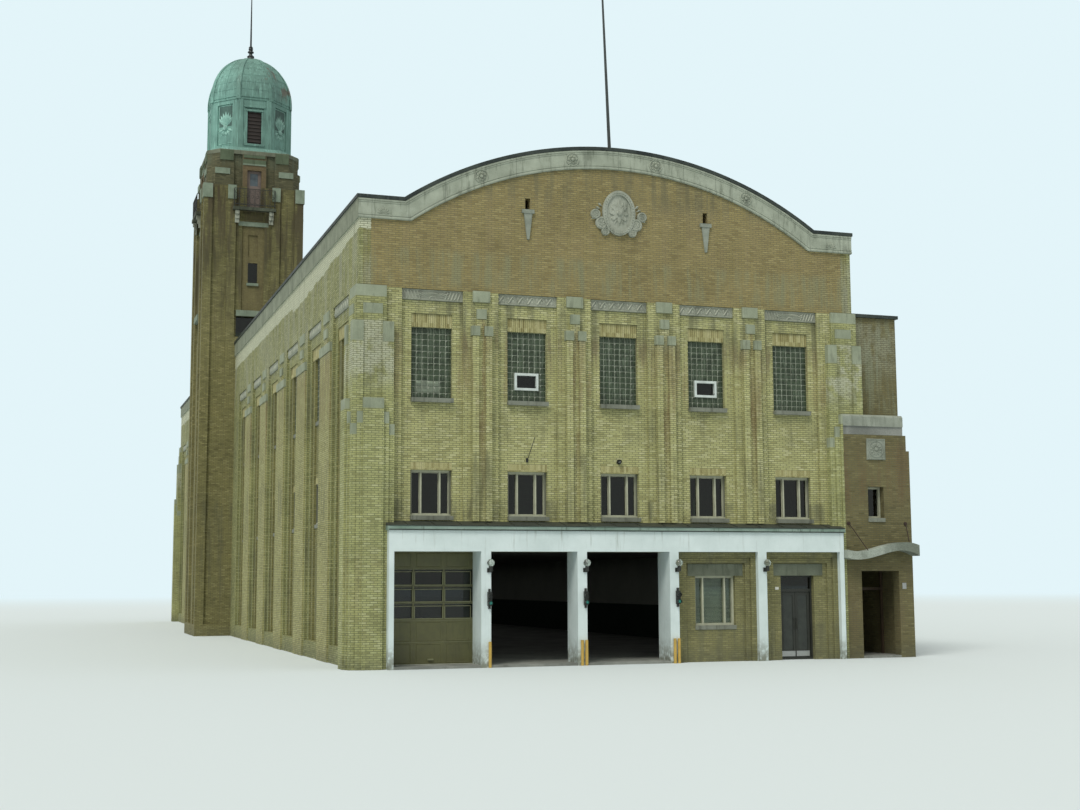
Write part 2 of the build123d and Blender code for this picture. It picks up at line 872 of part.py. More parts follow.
def office_bay():
    """The fourth bay: brick infill with a window, its lintel and sill."""
    x = bay_centres[3]
    clear = (bay_pitch - pier_width) / 2
    face = infill_face
    depth = infill_thickness - infill_frame_steps * infill_frame_step
    shape = infill(x - clear, x + clear)
    top = office_window_bottom + office_window_height
    x0 = x - office_window_width / 2
    hole = block(x0, x0 + office_window_width, face, face + depth, office_window_bottom - sill_height, top)
    lintel = infill_lintel(x, office_lintel_width, top)
    save("office_infill", shape - hole - lintel)
    ledge = sill(office_window_width, office_window_bottom, face, depth, infill_lintel_projection)
    save("dressed_stones", lintel, entry_lintel())
    save("window_sills", Pos(x, 0, 0) * ledge)
    height = office_window_height
    frame, pane = window_set(
        office_window_width, height, office_window_bottom, window_frame_depth, office_mullion_offset
    )
    spot = Pos(x, face + window_setback / 2, 0)
    save("window_frames", spot * frame)
    save("window_glass", spot * pane)


def entry_lintel():
    """The stone lintel over the entrance doors."""
    return infill_lintel((entry_left + entry_right) / 2, entry_lintel_width, entry_head)


def entry_bay():
    """The fifth bay: brick beside and over the entrance, its frame and its glass."""
    clear = (bay_pitch - pier_width) / 2
    x_low = bay_centres[4] - clear
    x_high = portico_half - end_pier_width
    shape = infill(x_low, x_high)
    face = infill_setback - portico_depth
    y1 = face + infill_thickness
    save("entry_wall_sides", shape & block(x_low, entry_left, face, y1, 0, entry_head))
    save("entry_wall_sides", shape & block(entry_right, x_high, face, y1, 0, entry_head))
    save("entry_wall_head", (shape & block(x_low, x_high, face, y1, entry_head, door_head)) - entry_lintel())
    y0 = infill_face + entry_setback
    y1 = y0 + entry_frame_depth
    rail = entry_frame_width
    left = entry_left + rail
    right = entry_right - rail
    frame = block(entry_left, entry_right, y0, y1, 0, entry_head)
    frame -= block(left, right, y0, y1, slab, transom_bottom)
    frame -= block(left, right, y0, y1, transom_bottom + transom_bar, entry_head - rail)
    middle = (y0 + y1) / 2
    holes = []
    for x in (left + leaf_edge(), right - leaf_edge()):
        for z in (slab - pivot_length, transom_bottom):
            bore = Cylinder(pivot_radius + pivot_clearance, pivot_length)
            holes.append(Pos(x, middle, z + pivot_length / 2) * bore)
    save("entry_frame", frame - holes)
    low = transom_bottom + transom_bar
    save("window_glass", block(left, right, middle - glass / 2, middle + glass / 2, low, entry_head - rail))
    entry_leaves(left, right, middle)


def leaf_edge():
    """The distance from the frame to a leaf's pivot, so that its round edge keeps the gap."""
    return leaf_gap + leaf_thickness / 2


def entry_leaves(left, right, middle):
    """The two door leaves, each turning on pins at its head and foot."""
    pivot = left + leaf_edge()
    meeting = (left + right) / 2 - leaf_gap / 2
    z0 = slab + leaf_gap
    z1 = transom_bottom - leaf_gap
    y0 = middle - leaf_thickness / 2
    y1 = middle + leaf_thickness / 2
    leaf = block(pivot, meeting, y0, y1, z0, z1)
    leaf += Pos(pivot, middle, (z0 + z1) / 2) * Cylinder(leaf_thickness / 2, z1 - z0)
    light = block(pivot + leaf_rail, meeting - leaf_rail, y0, y1, z0 + leaf_kick, z1 - leaf_rail)
    leaf -= light
    for z, way in ((z0, -1), (z1, 1)):
        reach = leaf_gap + pivot_length - pivot_clearance
        leaf += Pos(pivot, middle, z + way * reach / 2) * Cylinder(pivot_radius, reach)
    x = meeting - leaf_rail / 2
    for way in (-1, 1):
        y = middle + way * (leaf_thickness / 2 + handle_standoff)
        grip = Pos(x, y, handle_height + handle_length / 2) * Cylinder(handle_radius, handle_length)
        for z in (handle_height + handle_radius * 2, handle_height + handle_length - handle_radius * 2):
            y_low, y_high = sorted((middle + way * leaf_thickness / 2, y))
            length = y_high - y_low
            post = Pos(x, (y_low + y_high) / 2, z) * Rot(90, 0, 0) * Cylinder(handle_radius, length)
            grip += post
        leaf += grip
    pane = block(pivot + leaf_rail, meeting - leaf_rail, middle - glass / 2, middle + glass / 2,
                 z0 + leaf_kick, z1 - leaf_rail)
    swap = Plane.YZ.offset((left + right) / 2)
    save("entry_leaf_left", leaf)
    save("entry_glass_left", pane)
    save("entry_leaf_right", mirror(leaf, about=swap))
    save("entry_glass_right", mirror(pane, about=swap))


def wing(pier, stones):
    """The entrance wing: lower and upper walls, its floors and roof, and the stone band."""
    low_top = wing_floor_top - floor_thickness
    front_back = wall - wing_front
    rear_front = wing_depth - wall
    side_left = wing_right - wall
    front = block(wing_left, wing_right, -wing_front, front_back, 0, low_top)
    front -= block(wing_left, half, 0, wing_depth, 0, low_top)
    front -= block(wing_door_left, wing_door_right, -wing_front, front_back, 0, wing_door_head)
    x1 = wing_window_left + wing_window_width
    z0 = wing_window_bottom - sill_height
    z1 = wing_window_bottom + wing_window_height
    front -= block(wing_window_left, x1, -wing_front, front_back, z0, z1)
    step = wing_floor_top - 2 * wing_step_height
    front -= block(wing_right - wing_step_width, wing_right, -wing_front, front_back, step, low_top)
    y0 = wing_upper_front
    high_front = block(half, wing_right, y0, y0 + wall, wing_floor_top, wing_roof_top)
    save("wing_front_walls", front, high_front)
    low_side = block(side_left, wing_right, front_back, rear_front, 0, low_top)
    high_side = block(side_left, wing_right, y0 + wall, rear_front, wing_floor_top, wing_roof_top)
    save("wing_side_walls", low_side, high_side)
    low_rear = block(half, wing_right, rear_front, wing_depth, 0, low_top)
    high_rear = block(half, wing_right, rear_front, wing_depth, wing_floor_top, wing_roof_top)
    save("wing_rear_walls", low_rear, high_rear)
    plate = block(half, wing_right, -wing_front, wing_depth, low_top, wing_floor_top)
    plate += block(wing_left, half, -wing_front, 0, low_top, wing_floor_top)
    edge = wing_right - 2 * wing_step_width
    plate -= block(edge, wing_right, -wing_front, wing_upper_front, low_top, wing_floor_top)
    first = block(half, wing_right - wall, wall - wing_front, wing_depth - wall, first_floor - floor_thickness,
                  first_floor)
    ground = block(half, wing_right - wall, wall - wing_front, wing_depth - wall, 0, slab)
    ground += block(wing_door_left, wing_door_right, -wing_front, wall - wing_front, 0, slab) - block(
        wing_left, half, 0, wall, 0, slab)
    save("ground_floors", ground)
    save("upper_floors", first)
    save("upper_floors", plate)
    z1 = wing_roof_top - wing_roof_drop
    roof = block(half, wing_right - wall, y0 + wall, wing_depth - wall, z1 - wing_roof_slab, z1)
    save("wing_roof", roof)
    lip = flashing_projection + coping_projection
    top = wing_roof_top + flashing_height
    cover = block(half, wing_right + lip, y0 - lip, wing_depth + lip, wing_roof_top, top)
    cover -= block(half, wing_right - wall, y0 + wall, wing_depth - wall, wing_roof_top, top)
    for stone in stones + [pier]:
        cover -= other_side(stone)
    save("parapet_flashings", cover)
    wing_front_pieces()


def wing_front_pieces():
    """Stonework, window, door screen, canopy and stays on the front of the wing."""
    face = -wing_front
    proud = wing_band_projection
    z0 = wing_floor_top
    slope = Polyline(
        (face - proud, z0),
        (wing_upper_front, z0),
        (wing_upper_front, z0 + wing_band_height),
        (face + proud, z0 + wing_band_height),
        (face - proud, z0 + wing_band_height - 2 * proud),
        close=True,
    )
    band = along(make_face(slope), wing_left, wing_band_right)
    hall = block(-half, half, 0, hall_depth, 0, coping_top)
    stone = block(wing_stone_left, wing_stone_left + wing_stone_size, face - wing_stone_projection, face,
                  wing_stone_bottom, wing_stone_bottom + wing_stone_size)
    x = wing_window_left + wing_window_width / 2
    ledge = Pos(x, 0, 0) * sill(wing_window_width, wing_window_bottom, face, wall, sill_projection)
    save("dressed_stones", band - hall, stone)
    save("window_sills", ledge)
    z1 = wing_window_bottom + wing_window_height
    x0, x1 = wing_window_left, wing_window_left + wing_window_width
    y0 = face + window_setback
    rail = window_frame_width
    frame = block(x0, x1, y0, y0 + window_frame_depth, wing_window_bottom, z1)
    frame -= block(x0 + rail, x1 - rail, y0, y0 + window_frame_depth, wing_window_bottom + rail, z1 - rail)
    save("window_frames", frame)
    y1 = y0 + window_frame_depth
    save("window_glass", block(x0, x1, y1, y1 + glass, wing_window_bottom, z1))
    y0 = face + screen_setback
    y1 = y0 + screen_thickness
    x0, x1 = half, wing_right - wall
    z1 = first_floor - floor_thickness
    screen = block(x0, x1, y0, y1, slab, z1)
    rail = screen_post
    screen -= block(x0 + rail, x1 - rail, y0, y1, slab, screen_bar_bottom)
    screen -= block(x0 + rail, x1 - rail, y0, y1, screen_bar_bottom + rail, z1 - rail)
    save("wing_door_screen", screen)
    span = canopy_right - canopy_left
    soffits = (0, 0, canopy_rise, canopy_end_soffit)
    heads = (0, 0, canopy_rise, canopy_end_rise)
    under = [(canopy_left + span * i, canopy_bottom + h) for i, h in zip(canopy_stations, soffits)]
    base = canopy_bottom + canopy_thickness
    upper = [(canopy_left + span * i, base + h) for i, h in zip(canopy_stations, heads)]
    ends = Line(under[-1], upper[-1]) + Line(upper[0], under[0])
    outline = Spline(*under) + Spline(*reversed(upper)) + ends
    shelf = across(make_face(outline), face - canopy_projection, face)
    shelf -= block(0, portico_half, -2 * portico_depth, 0, 0, coping_top)
    shelf -= block(0, wing_left, -corner_foot_projection, 0, 0, coping_top)
    save("wing_canopy", shelf)
    stays = []
    for x, way in ((wing_left + 2 * stay_anchor_radius, 1), (canopy_right - stay_inset, stay_lean)):
        top = (x, face - stay_anchor_depth, stay_height)
        foot = (x + way * stay_run, face - canopy_projection + 3 * stay_radius, canopy_bottom + canopy_rise)
        run = Line(top, foot)
        rod = sweep(Plane(origin=run @ 0, z_dir=run % 0) * Circle(stay_radius), path=run)
        anchor = Pos(x, face - stay_anchor_depth / 2, stay_height) * Rot(90, 0, 0)
        stays.append((rod + anchor * Cylinder(stay_anchor_radius, stay_anchor_depth)) - shelf)
    save("canopy_stays", *stays)


def four_sides(shape):
    """A piece made for the tower's street front, turned to all four of its sides."""
    axis = Pos(tower_centre_x, tower_centre_y, 0)
    return [axis * Rot(0, 0, 90 * turn) * shape for turn in range(4)]


def tower_face(u0, u1, depth0, depth1, z0, z1):
    """A block on the tower's front, at u from its middle and at depths in from its face."""
    y = -tower_width / 2
    return block(u0, u1, y + depth0, y + depth1, z0, z1)


def tower_cuts():
    """Grooves, windows and doors cut in one side of the tower, above the hall roof."""
    low, high = tower_groove_bottom, tower_shaft_top
    cuts = []
    outer = tower_width / 2 - tower_rib
    for sign in (-1, 1):
        u0, u1 = sorted((sign * outer, sign * (outer - tower_panel)))
        cuts.append(tower_face(u0, u1, 0, tower_panel_depth, low, high))
    u1 = tower_recess_width / 2
    cuts.append(tower_face(-u1, u1, 0, tower_recess_depth, low, high))
    u1 = tower_inner_recess_width / 2
    deep = tower_recess_depth + tower_inner_recess_depth
    cuts.append(tower_face(-u1, u1, 0, deep, tower_vent_bottom, balcony_level - balcony_thickness))
    u1 = tower_window_width / 2
    z1 = tower_window_bottom + tower_window_height
    cuts.append(tower_face(-u1, u1, 0, tower_wall, tower_window_bottom, z1))
    z1 = tower_blind_bottom + tower_blind_height
    cuts.append(tower_face(-u1, u1, 0, deep + tower_blind_depth, tower_blind_bottom, z1))
    u1 = tower_vent_width / 2
    z1 = tower_vent_bottom + tower_vent_height
    cuts.append(tower_face(-u1, u1, 0, tower_wall, tower_vent_bottom, z1))
    cuts.append(balcony_doorway())
    return cuts


def balcony_doorway():
    """The doorway that opens on a balcony."""
    u1 = balcony_door_width / 2
    z1 = balcony_level + balcony_door_height
    return tower_face(-u1, u1, 0, tower_width / 4, balcony_level, z1)


def tower_shaft():
    """The square brick shaft, saved as one node a side, with its floors."""
    hx = tower_width / 2
    bore = hx - tower_wall
    middle = Pos(tower_centre_x, tower_centre_y, 0)
    shaft = middle * block(-hx, hx, -hx, hx, 0, tower_shaft_top)
    shaft -= middle * block(-bore, bore, -bore, bore, 0, tower_shaft_top)
    for cut in tower_cuts():
        shaft -= four_sides(cut)
    outer = hx - tower_rib
    z0, z1 = side_recess_bottom, tower_groove_bottom
    street = tower_face(-outer, -outer + tower_panel, 0, tower_panel_depth, z0, z1)
    shaft -= middle * street
    shaft -= middle * mirror(street, about=Plane.XZ)
    for sign in (-1, 1):
        u0, u1 = sorted((sign * outer, sign * (outer - tower_panel)))
        groove = tower_face(u0, u1, 0, tower_panel_depth, side_recess_bottom, tower_groove_bottom)
        shaft -= middle * Rot(0, 0, -90) * groove
    u1 = tower_recess_width / 2
    groove = tower_face(-u1, u1, 0, tower_recess_depth, side_recess_bottom, tower_groove_bottom)
    shaft -= middle * Rot(0, 0, -90) * groove
    x0, x1 = tower_left, tower_right
    y0, y1 = tower_front, tower_back
    w = tower_wall
    top = tower_shaft_top
    save("tower_cross_walls", shaft & block(x0, x1, y0, y0 + w, 0, top))
    save("tower_cross_walls", shaft & block(x0, x1, y1 - w, y1, 0, top))
    save("tower_side_walls", shaft & block(x0, x0 + w, y0 + w, y1 - w, 0, top))
    save("tower_side_walls", shaft & block(x1 - w, x1, y0 + w, y1 - w, 0, top))
    ground = block(x0 + w, x1 - w, y0 + w, y1 - w, 0, slab)
    upper = block(x0 + w, x1 - w, y0 + w, y1 - w, balcony_level - balcony_thickness, balcony_level)
    save("ground_floors", ground)
    save("upper_floors", upper)


def chamfered(inset, cut, z0, z1):
    """A block over the tower shaft, set in by inset, with its corners cut off."""
    outline = Rectangle(tower_width - 2 * inset, tower_width - 2 * inset)
    outline = chamfer(outline.vertices(), cut)
    return Pos(tower_centre_x, tower_centre_y, z0) * extrude(outline, amount=z1 - z0)


def tower_head():
    """The stepped top of the tower, closed by the slab that carries the drum."""
    middle_z = tower_shaft_top + tower_step_height
    shape = chamfered(tower_step_one, tower_chamfer_one, tower_shaft_top, middle_z)
    shape += chamfered(tower_step_two, tower_chamfer_two, middle_z, tower_head_top)
    inset = tower_wall + tower_step_two
    shape -= chamfered(inset, tower_chamfer_two, tower_shaft_top, tower_head_top - tower_roof_slab)
    shape -= four_sides(balcony_doorway())
    deep = tower_step_two + tower_panel_depth
    top = tower_head_top - head_groove_drop
    for sign in (-1, 1):
        u0, u1 = sorted((sign * head_groove_inner, sign * head_groove_outer))
        shape -= four_sides(tower_face(u0, u1, 0, deep, tower_shaft_top, top))
    save("tower_head", shape)


def tower_stones():
    """Stone caps, lintels and sills that stand proud of the tower's brick."""
    p = tower_stone_projection
    outer = tower_width / 2 - tower_rib
    inner_edge = outer - tower_panel
    row = tower_shaft_top - tower_cap_height
    pieces = []
    for sign in (-1, 1):
        u0, u1 = sorted((sign * inner_edge, sign * tower_recess_width / 2))
        pieces += four_sides(tower_face(u0, u1, -p, 0, row, tower_shaft_top))
    hx = hy = tower_width / 2
    core = block(-hx, hx, -hy, hy, 0, tower_head_top)
    corner = block(-hx - p, -outer, -hy - p, -hy + tower_rib, row, tower_shaft_top) - core
    middle = Pos(tower_centre_x, tower_centre_y, 0)
    for sx in (False, True):
        for sy in (False, True):
            shape = mirror(corner, about=Plane.YZ) if sx else corner
            shape = mirror(shape, about=Plane.XZ) if sy else shape
            pieces.append(middle * shape)
    u1 = tower_vent_width / 2
    z0 = tower_vent_bottom + tower_vent_height
    lintel = tower_face(-u1, u1, -p, tower_recess_depth, z0, z0 + tower_lintel_height)
    pieces += four_sides(lintel)
    u1 = tower_window_width / 2 + tower_sill_ear
    deep = tower_recess_depth + tower_inner_recess_depth
    z1 = tower_window_bottom
    ledge = tower_face(-u1, u1, tower_recess_depth, deep, z1 - sill_height, z1)
    pieces += four_sides(ledge)
    for inner_edge, low, height, step, cut in (
        (head_block_inner, head_block_low, head_block_height, tower_step_one, tower_chamfer_one),
        (head_band_inner, head_band_low, head_band_height, tower_step_two, tower_chamfer_two),
    ):
        outer_edge = tower_width / 2 - step - cut
        z0 = tower_shaft_top + low
        for sign in (-1, 1):
            u0, u1 = sorted((sign * inner_edge, sign * outer_edge))
            pieces += four_sides(tower_face(u0, u1, step - p, step, z0, z0 + height))
    save("tower_caps", *pieces)


def tower_openings():
    """Glass in the tower's windows and vents, and the plank doors of the balconies."""
    deep = tower_recess_depth + tower_glass_setback
    u1 = tower_window_width / 2
    top = tower_window_bottom + tower_window_height
    window = tower_face(-u1, u1, deep, deep + glass, tower_window_bottom, top)
    u1 = tower_vent_width / 2
    vent = tower_face(-u1, u1, deep, deep + glass, tower_vent_bottom, tower_vent_bottom + tower_vent_height)
    save("window_glass", *four_sides(window), *four_sides(vent))
    u1 = balcony_door_width / 2
    y0 = tower_step_two + tower_glass_setback
    z1 = balcony_level + balcony_door_height
    save("balcony_doors", *four_sides(tower_face(-u1, u1, y0, y0 + leaf_thickness, balcony_level, z1)))


def balconies():
    """Stone balconies on corbels, with iron railings."""
    u1 = balcony_width / 2
    z0 = balcony_level - balcony_thickness
    base = tower_face(-u1, u1, -balcony_projection, 0, z0, balcony_level)
    for sign in (-1, 1):
        a, b = sorted((sign * (u1 - corbel_inset), sign * (u1 - corbel_inset - corbel_width)))
        step = corbel_height / len(corbel_reaches)
        for i, reach in enumerate(corbel_reaches):
            base += tower_face(a, b, -balcony_projection * reach, 0, z0 - step * (i + 1), z0 - step * i)
    save("balcony_slabs", *four_sides(base))
    bar = rail_bar
    edge = balcony_rail_inset
    y0 = -balcony_projection + edge
    rails = None
    for z, y1 in ((balcony_level + rail_gap, 0), (balcony_level + rail_height - bar, -tower_stone_projection)):
        ring = tower_face(-u1 + edge, u1 - edge, y0, y1, z, z + bar)
        ring -= tower_face(-u1 + edge + bar, u1 - edge - bar, y0 + bar, y1, z, z + bar)
        rails = ring if rails is None else rails + ring
    span = 2 * (u1 - edge) - bar
    for i in range(rail_bars):
        u = -u1 + edge + span * i / (rail_bars - 1)
        rails += tower_face(u, u + bar, y0, y0 + bar, balcony_level, balcony_level + rail_height)
    for sign in (-1, 1):
        u0, v1 = sorted((sign * (u1 - edge), sign * (u1 - edge - bar)))
        rails += tower_face(u0, v1, y0 / 2, y0 / 2 + bar, balcony_level, balcony_level + rail_height)
    save("balcony_railings", *four_sides(rails))


def octagon(width):
    """A regular octagon with flats facing the four sides, width across its flats."""
    return Rot(0, 0, 22.5) * RegularPolygon(width / 2, 8, major_radius=False)


def drum():
    """The copper drum with louvred openings in its four main faces."""
    middle = Pos(tower_centre_x, tower_centre_y, tower_head_top)
    shell = extrude(octagon(drum_width), amount=drum_height)
    skirt = extrude(octagon(drum_width + 2 * drum_skirt_projection), amount=drum_skirt_height)
    shell += skirt
    base = Rectangle(2 * drum_base_half, 2 * drum_base_half)
    base = chamfer(base.vertices(), drum_base_chamfer)
    shell += extrude(base, amount=drum_base_height, taper=drum_base_slope)
    shell -= extrude(octagon(drum_width - 2 * drum_wall), amount=drum_height)
    y = -drum_width / 2
    u1 = louvre_width / 2
    top = louvre_bottom + louvre_height
    hole = block(-u1, u1, y - drum_skirt_projection, y + drum_wall, louvre_bottom, top)
    u2 = u1 + louvre_frame
    step = block(-u2, u2, y, y + drum_panel_depth, louvre_bottom, top + louvre_frame_head)
    u1 = drum_panel_width / 2
    z1 = drum_panel_bottom + drum_panel_height
    panel = block(-u1, u1, y, y + drum_panel_depth, drum_panel_bottom, z1)
    blades = []
    for turn in range(4):
        spin = Rot(0, 0, 90 * turn)
        shell -= [spin * hole, spin * step, Rot(0, 0, 90 * turn + 45) * panel]
    fin_half = drum_fin_width / 2
    fin = block(-fin_half, fin_half, y - drum_fin_projection, y, drum_skirt_height, drum_height)
    side = drum_width * math.tan(math.pi / 8) / 2 - fin_half
    for turn in range(4):
        for sign in (-1, 1):
            shell += Rot(0, 0, 90 * turn) * Pos(sign * side, 0, 0) * fin
    save("drum", middle * shell)
    pitch = louvre_height / louvre_blades
    u1 = louvre_width / 2
    for i in range(louvre_blades):
        z = louvre_bottom + pitch * (i + 0.5)
        blade = Pos(0, y + louvre_depth / 2 + drum_panel_depth, z) * Rot(-louvre_tilt, 0, 0)
        blades.append(blade * Box(louvre_width, louvre_depth, louvre_blade_thickness))
    back_y = y + drum_wall
    comb = block(-u1, u1, back_y, back_y + louvre_back, louvre_bottom, top)
    for blade in blades:
        comb += blade
    comb = comb & block(-u1, u1, y + drum_panel_depth, back_y + louvre_back, louvre_bottom, top)
    save("drum_louvres", *[middle * Rot(0, 0, 90 * turn) * comb for turn in range(4)])


def dome_solid(width, rise):
    """An eight-sided dome: four arched vaults crossing each other under a flat crown."""
    x = width / 2
    edge = Polyline((-x, dome_upright), (-x, 0), (x, 0), (x, dome_upright))
    arch = EllipticalCenterArc((0, dome_upright), x, rise, start_angle=0, arc_size=180)
    top = dome_upright + rise - dome_crown_drop
    outline = make_face(edge + arch) & Pos(0, top / 2) * Rectangle(width, top)
    body = across(outline, -width, width)
    shape = body
    for turn in (45, 90, 135):
        shape = shape & Rot(0, 0, turn) * body
    return shape


def dome():
    """The copper dome, its finial and the spire."""
    z = tower_head_top + drum_height
    middle = Pos(tower_centre_x, tower_centre_y, z)
    outer_width = drum_width + 2 * dome_lip
    outer = dome_solid(outer_width, dome_rise)
    core = dome_solid(outer_width - 2 * (dome_wall + dome_lip), dome_rise - dome_wall)
    save("dome", middle * (outer - core))
    top = dome_upright + dome_rise
    sunk = dome_wall / 2
    turned = [(finial_radius * share, top + rise) for share, rise in finial_turns]
    foot = (0, top - sunk)
    head = [(spire_radius, top + finial_height), (0, top + finial_height)]
    profile = Polyline(foot, *turned, *head, close=True)
    finial = revolve(Plane.XZ * make_face(profile), Axis.Z)
    length = spire_top - z - top - finial_height
    rod = Pos(0, 0, top + finial_height + length / 2) * Cone(spire_radius, spire_radius / 3, length)
    save("finial_spire", middle * ((finial + rod) - outer))


def flagpole(roof):
    """The leaning flagpole on a block that is shaped to the vault."""
    low = arch_centre + arch_radius - vault_drop - pole_base_height
    size = pole_base_size / 2
    base = block(pole_x - size, pole_x + size, pole_y - size, pole_y + size, low, low + 2 * pole_base_height)
    length = pole_top - low - pole_base_height
    pole = Cone(pole_radius, pole_radius / 2, length)
    place = Pos(pole_x, pole_y, low + pole_base_height) * Rot(0, -pole_lean, 0) * Pos(0, 0, length / 2)
    shape = (base + place * pole) - roof
    below = block(-inner, inner, wall, back, 0, arch_centre)
    solids = sorted((shape - below).solids(), key=lambda solid: solid.bounding_box().max.Z)
    save("flagpole", solids[-1])


def pier_fittings():
    """Globe lamps, signal lights and guard posts at the portico piers."""
    face = -portico_depth
    brackets = []
    globes = []
    for x in pilaster_centres:
        x1 = x + pier_width / 2 - lamp_plate / 2
        z = globe_height - globe_radius
        y = face - lamp_arm_length
        low = z - lamp_plate_drop
        across_plate = lamp_plate / 2
        plate = block(x1 - across_plate, x1 + across_plate, face - lamp_arm_radius, face, low, low + lamp_plate)
        arm = Rot(90, 0, 0) * Cylinder(lamp_arm_radius, lamp_arm_length)
        arm = Pos(x1, (face + y) / 2, z - lamp_arm_drop) * arm
        cup = Pos(x1, y, z - lamp_cup_drop) * Cylinder(lamp_cup_radius, lamp_cup_height)
        globe = Pos(x1, y, globe_height) * Sphere(globe_radius)
        brackets.append((plate + arm + cup) - globe)
        globes.append(globe)
    save("lamp_brackets", *brackets)
    save("lamp_globes", *globes)
    signals = []
    for x in pilaster_centres[:3]:
        x1 = x + pier_width / 2 - signal_width / 2
        low, high = signal_bottom, signal_bottom + signal_height
        y = face - signal_depth
        x0 = signal_width / 2
        body = block(x1 - x0, x1 + x0, y, face, low + signal_bracket, high - signal_bracket)
        body += block(x1 - signal_width / 4, x1 + signal_width / 4, face - signal_depth / 2, face, low, high)
        glow = Rot(90, 0, 0) * Cylinder(lens_radius, lens_depth)
        lens = Pos(x1, y - lens_depth / 2, low + lens_height) * glow
        hood = Pos(x1, y - lens_depth / 2, low + lens_height + lens_pitch) * Rot(90, 0, 0)
        body += hood * Cylinder(lens_radius, lens_depth)
        signals.append(body + lens)
    save("signal_lights", *signals)
    y = face - guard_radius - guard_gap
    posts = []
    for x, count in zip(pilaster_centres[:3], guard_counts):
        for i in range(count):
            x1 = x + pier_width / 2 - guard_radius - i * 3 * guard_radius
            post = Pos(x1, y, guard_height / 2) * Cylinder(guard_radius, guard_height)
            posts.append(post)
    save("guard_posts", *posts)


def gable_ornament():
    """A plain oval rosette with scrolls, and the stone drops under the slit vents."""
    plate = Ellipse(medallion_half_width, medallion_half_height)
    ring = plate - Ellipse(medallion_half_width - medallion_ring, medallion_half_height - medallion_ring)
    shape = across(plate, -medallion_relief / 2, 0) + across(ring, -medallion_relief, 0)
    petal = Pos(0, petal_distance) * Ellipse(petal_half_width, petal_half_length)
    for turn in range(medallion_petals):
        flower = Rot(0, 0, 360 * turn / medallion_petals) * petal
        shape += across(flower, -petal_relief, 0)
    shape += across(Circle(flower_heart_radius), -medallion_relief, 0)
    for sign in (-1, 1):
        for dx, dz, r in scroll_places:
            scroll = Pos(sign * dx, dz) * Circle(scroll_radius * r)
            shape += across(scroll, -scroll_relief, 0)
    save("gable_medallion", Pos(0, 0, medallion_z) * shape)
    drops = []
    for x in (-bay_pitch, bay_pitch):
        z = slit_bottom - drop_sill_height
        sill_piece = block(-drop_sill_width / 2, drop_sill_width / 2, -drop_relief, 0, z, slit_bottom)
        taper = Polyline(
            (-drop_width / 2, z),
            (drop_width / 2, z),
            (drop_taper * drop_width / 2, z - drop_length),
            (-drop_taper * drop_width / 2, z - drop_length),
            close=True,
        )
        drops.append(Pos(x, 0, 0) * (sill_piece + across(make_face(taper), -drop_taper_relief, 0)))
    save("dressed_stones", *drops)


floor_slabs()
upper_floors()
front_walls()
side_walls()
roof = vault()
save("roof_vault", roof)
copings()
friezes()
pilasters()
pier_brick, pier_stones = corner_pier()
corner_piers(pier_brick, pier_stones)
front_windows()
side_windows()
portico(pier_brick)
overhead_door()
office_bay()
entry_bay()
wing(pier_brick, pier_stones)
tower_shaft()
tower_head()
tower_stones()
tower_openings()
balconies()
drum()
dome()
flagpole(roof)
pier_fittings()
gable_ornament()

for name, solids in nodes.items():
    export_step(solids[0] if len(solids) == 1 else Compound(solids), f"parts/{name}.step")
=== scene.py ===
"""Looks of a half-size fire station: vaulted hall, white portico, entrance wing and domed hose tower.

Everything is in metres of the half-size model: X along the street front, Y into the building, Z up.
The origin is at ground level, at the middle of the front wall's outer face.
"""

import math

import bmesh
import bpy
from mathutils import Matrix, Vector


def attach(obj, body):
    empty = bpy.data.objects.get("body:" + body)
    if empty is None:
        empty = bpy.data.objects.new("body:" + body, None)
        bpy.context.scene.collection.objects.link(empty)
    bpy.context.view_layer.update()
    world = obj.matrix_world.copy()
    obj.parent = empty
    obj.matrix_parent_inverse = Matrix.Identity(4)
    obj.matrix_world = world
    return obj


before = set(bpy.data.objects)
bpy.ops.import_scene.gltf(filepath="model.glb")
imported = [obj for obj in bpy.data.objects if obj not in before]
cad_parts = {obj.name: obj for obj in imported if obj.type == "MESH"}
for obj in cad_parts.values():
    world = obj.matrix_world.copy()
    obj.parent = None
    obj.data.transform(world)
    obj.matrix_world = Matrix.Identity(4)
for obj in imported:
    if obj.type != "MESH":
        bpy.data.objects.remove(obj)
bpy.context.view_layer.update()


# The set: a pale floor without an edge, an even overcast sky, one broad sun high on the left and
# a soft lamp in the hall. The camera stands across the street, turned towards the middle bays.
def feed(made, inputs):
    """Gives a node its inputs: numbers, colours without their alpha, or links from other nodes."""
    for key, value in inputs.items():
        socket = made.inputs[key]
        if isinstance(value, bpy.types.NodeSocket):
            made.id_data.links.new(value, socket)
        elif socket.type == "RGBA":
            socket.default_value = (*value, 1)
        else:
            socket.default_value = value


def node(kind, inputs, tree=None, **settings):
    """The outputs of a new shader node, made in the tree that its inputs come from."""
    tree = tree or next(v.id_data for v in inputs.values() if isinstance(v, bpy.types.NodeSocket))
    made = tree.nodes.new("ShaderNode" + kind)
    for key, value in settings.items():
        setattr(made, key, value)
    feed(made, inputs)
    return made.outputs


def maths(operation, first, second=0.0):
    """One step of arithmetic on one or two numbers."""
    return node("Math", {0: first, 1: second}, operation=operation)[0]


def times(first, *others):
    """Numbers multiplied together."""
    for other in others:
        first = maths("MULTIPLY", first, other)
    return first


def fade(value, low, high, start=0.0, end=1.0):
    """A smooth step from start to end as the value goes from low to high."""
    return node("MapRange", {0: value, 1: low, 2: high, 3: start, 4: end}, interpolation_type="SMOOTHSTEP")[0]


def split(place):
    """A place's X, Y and Z."""
    return node("SeparateXYZ", {0: place})


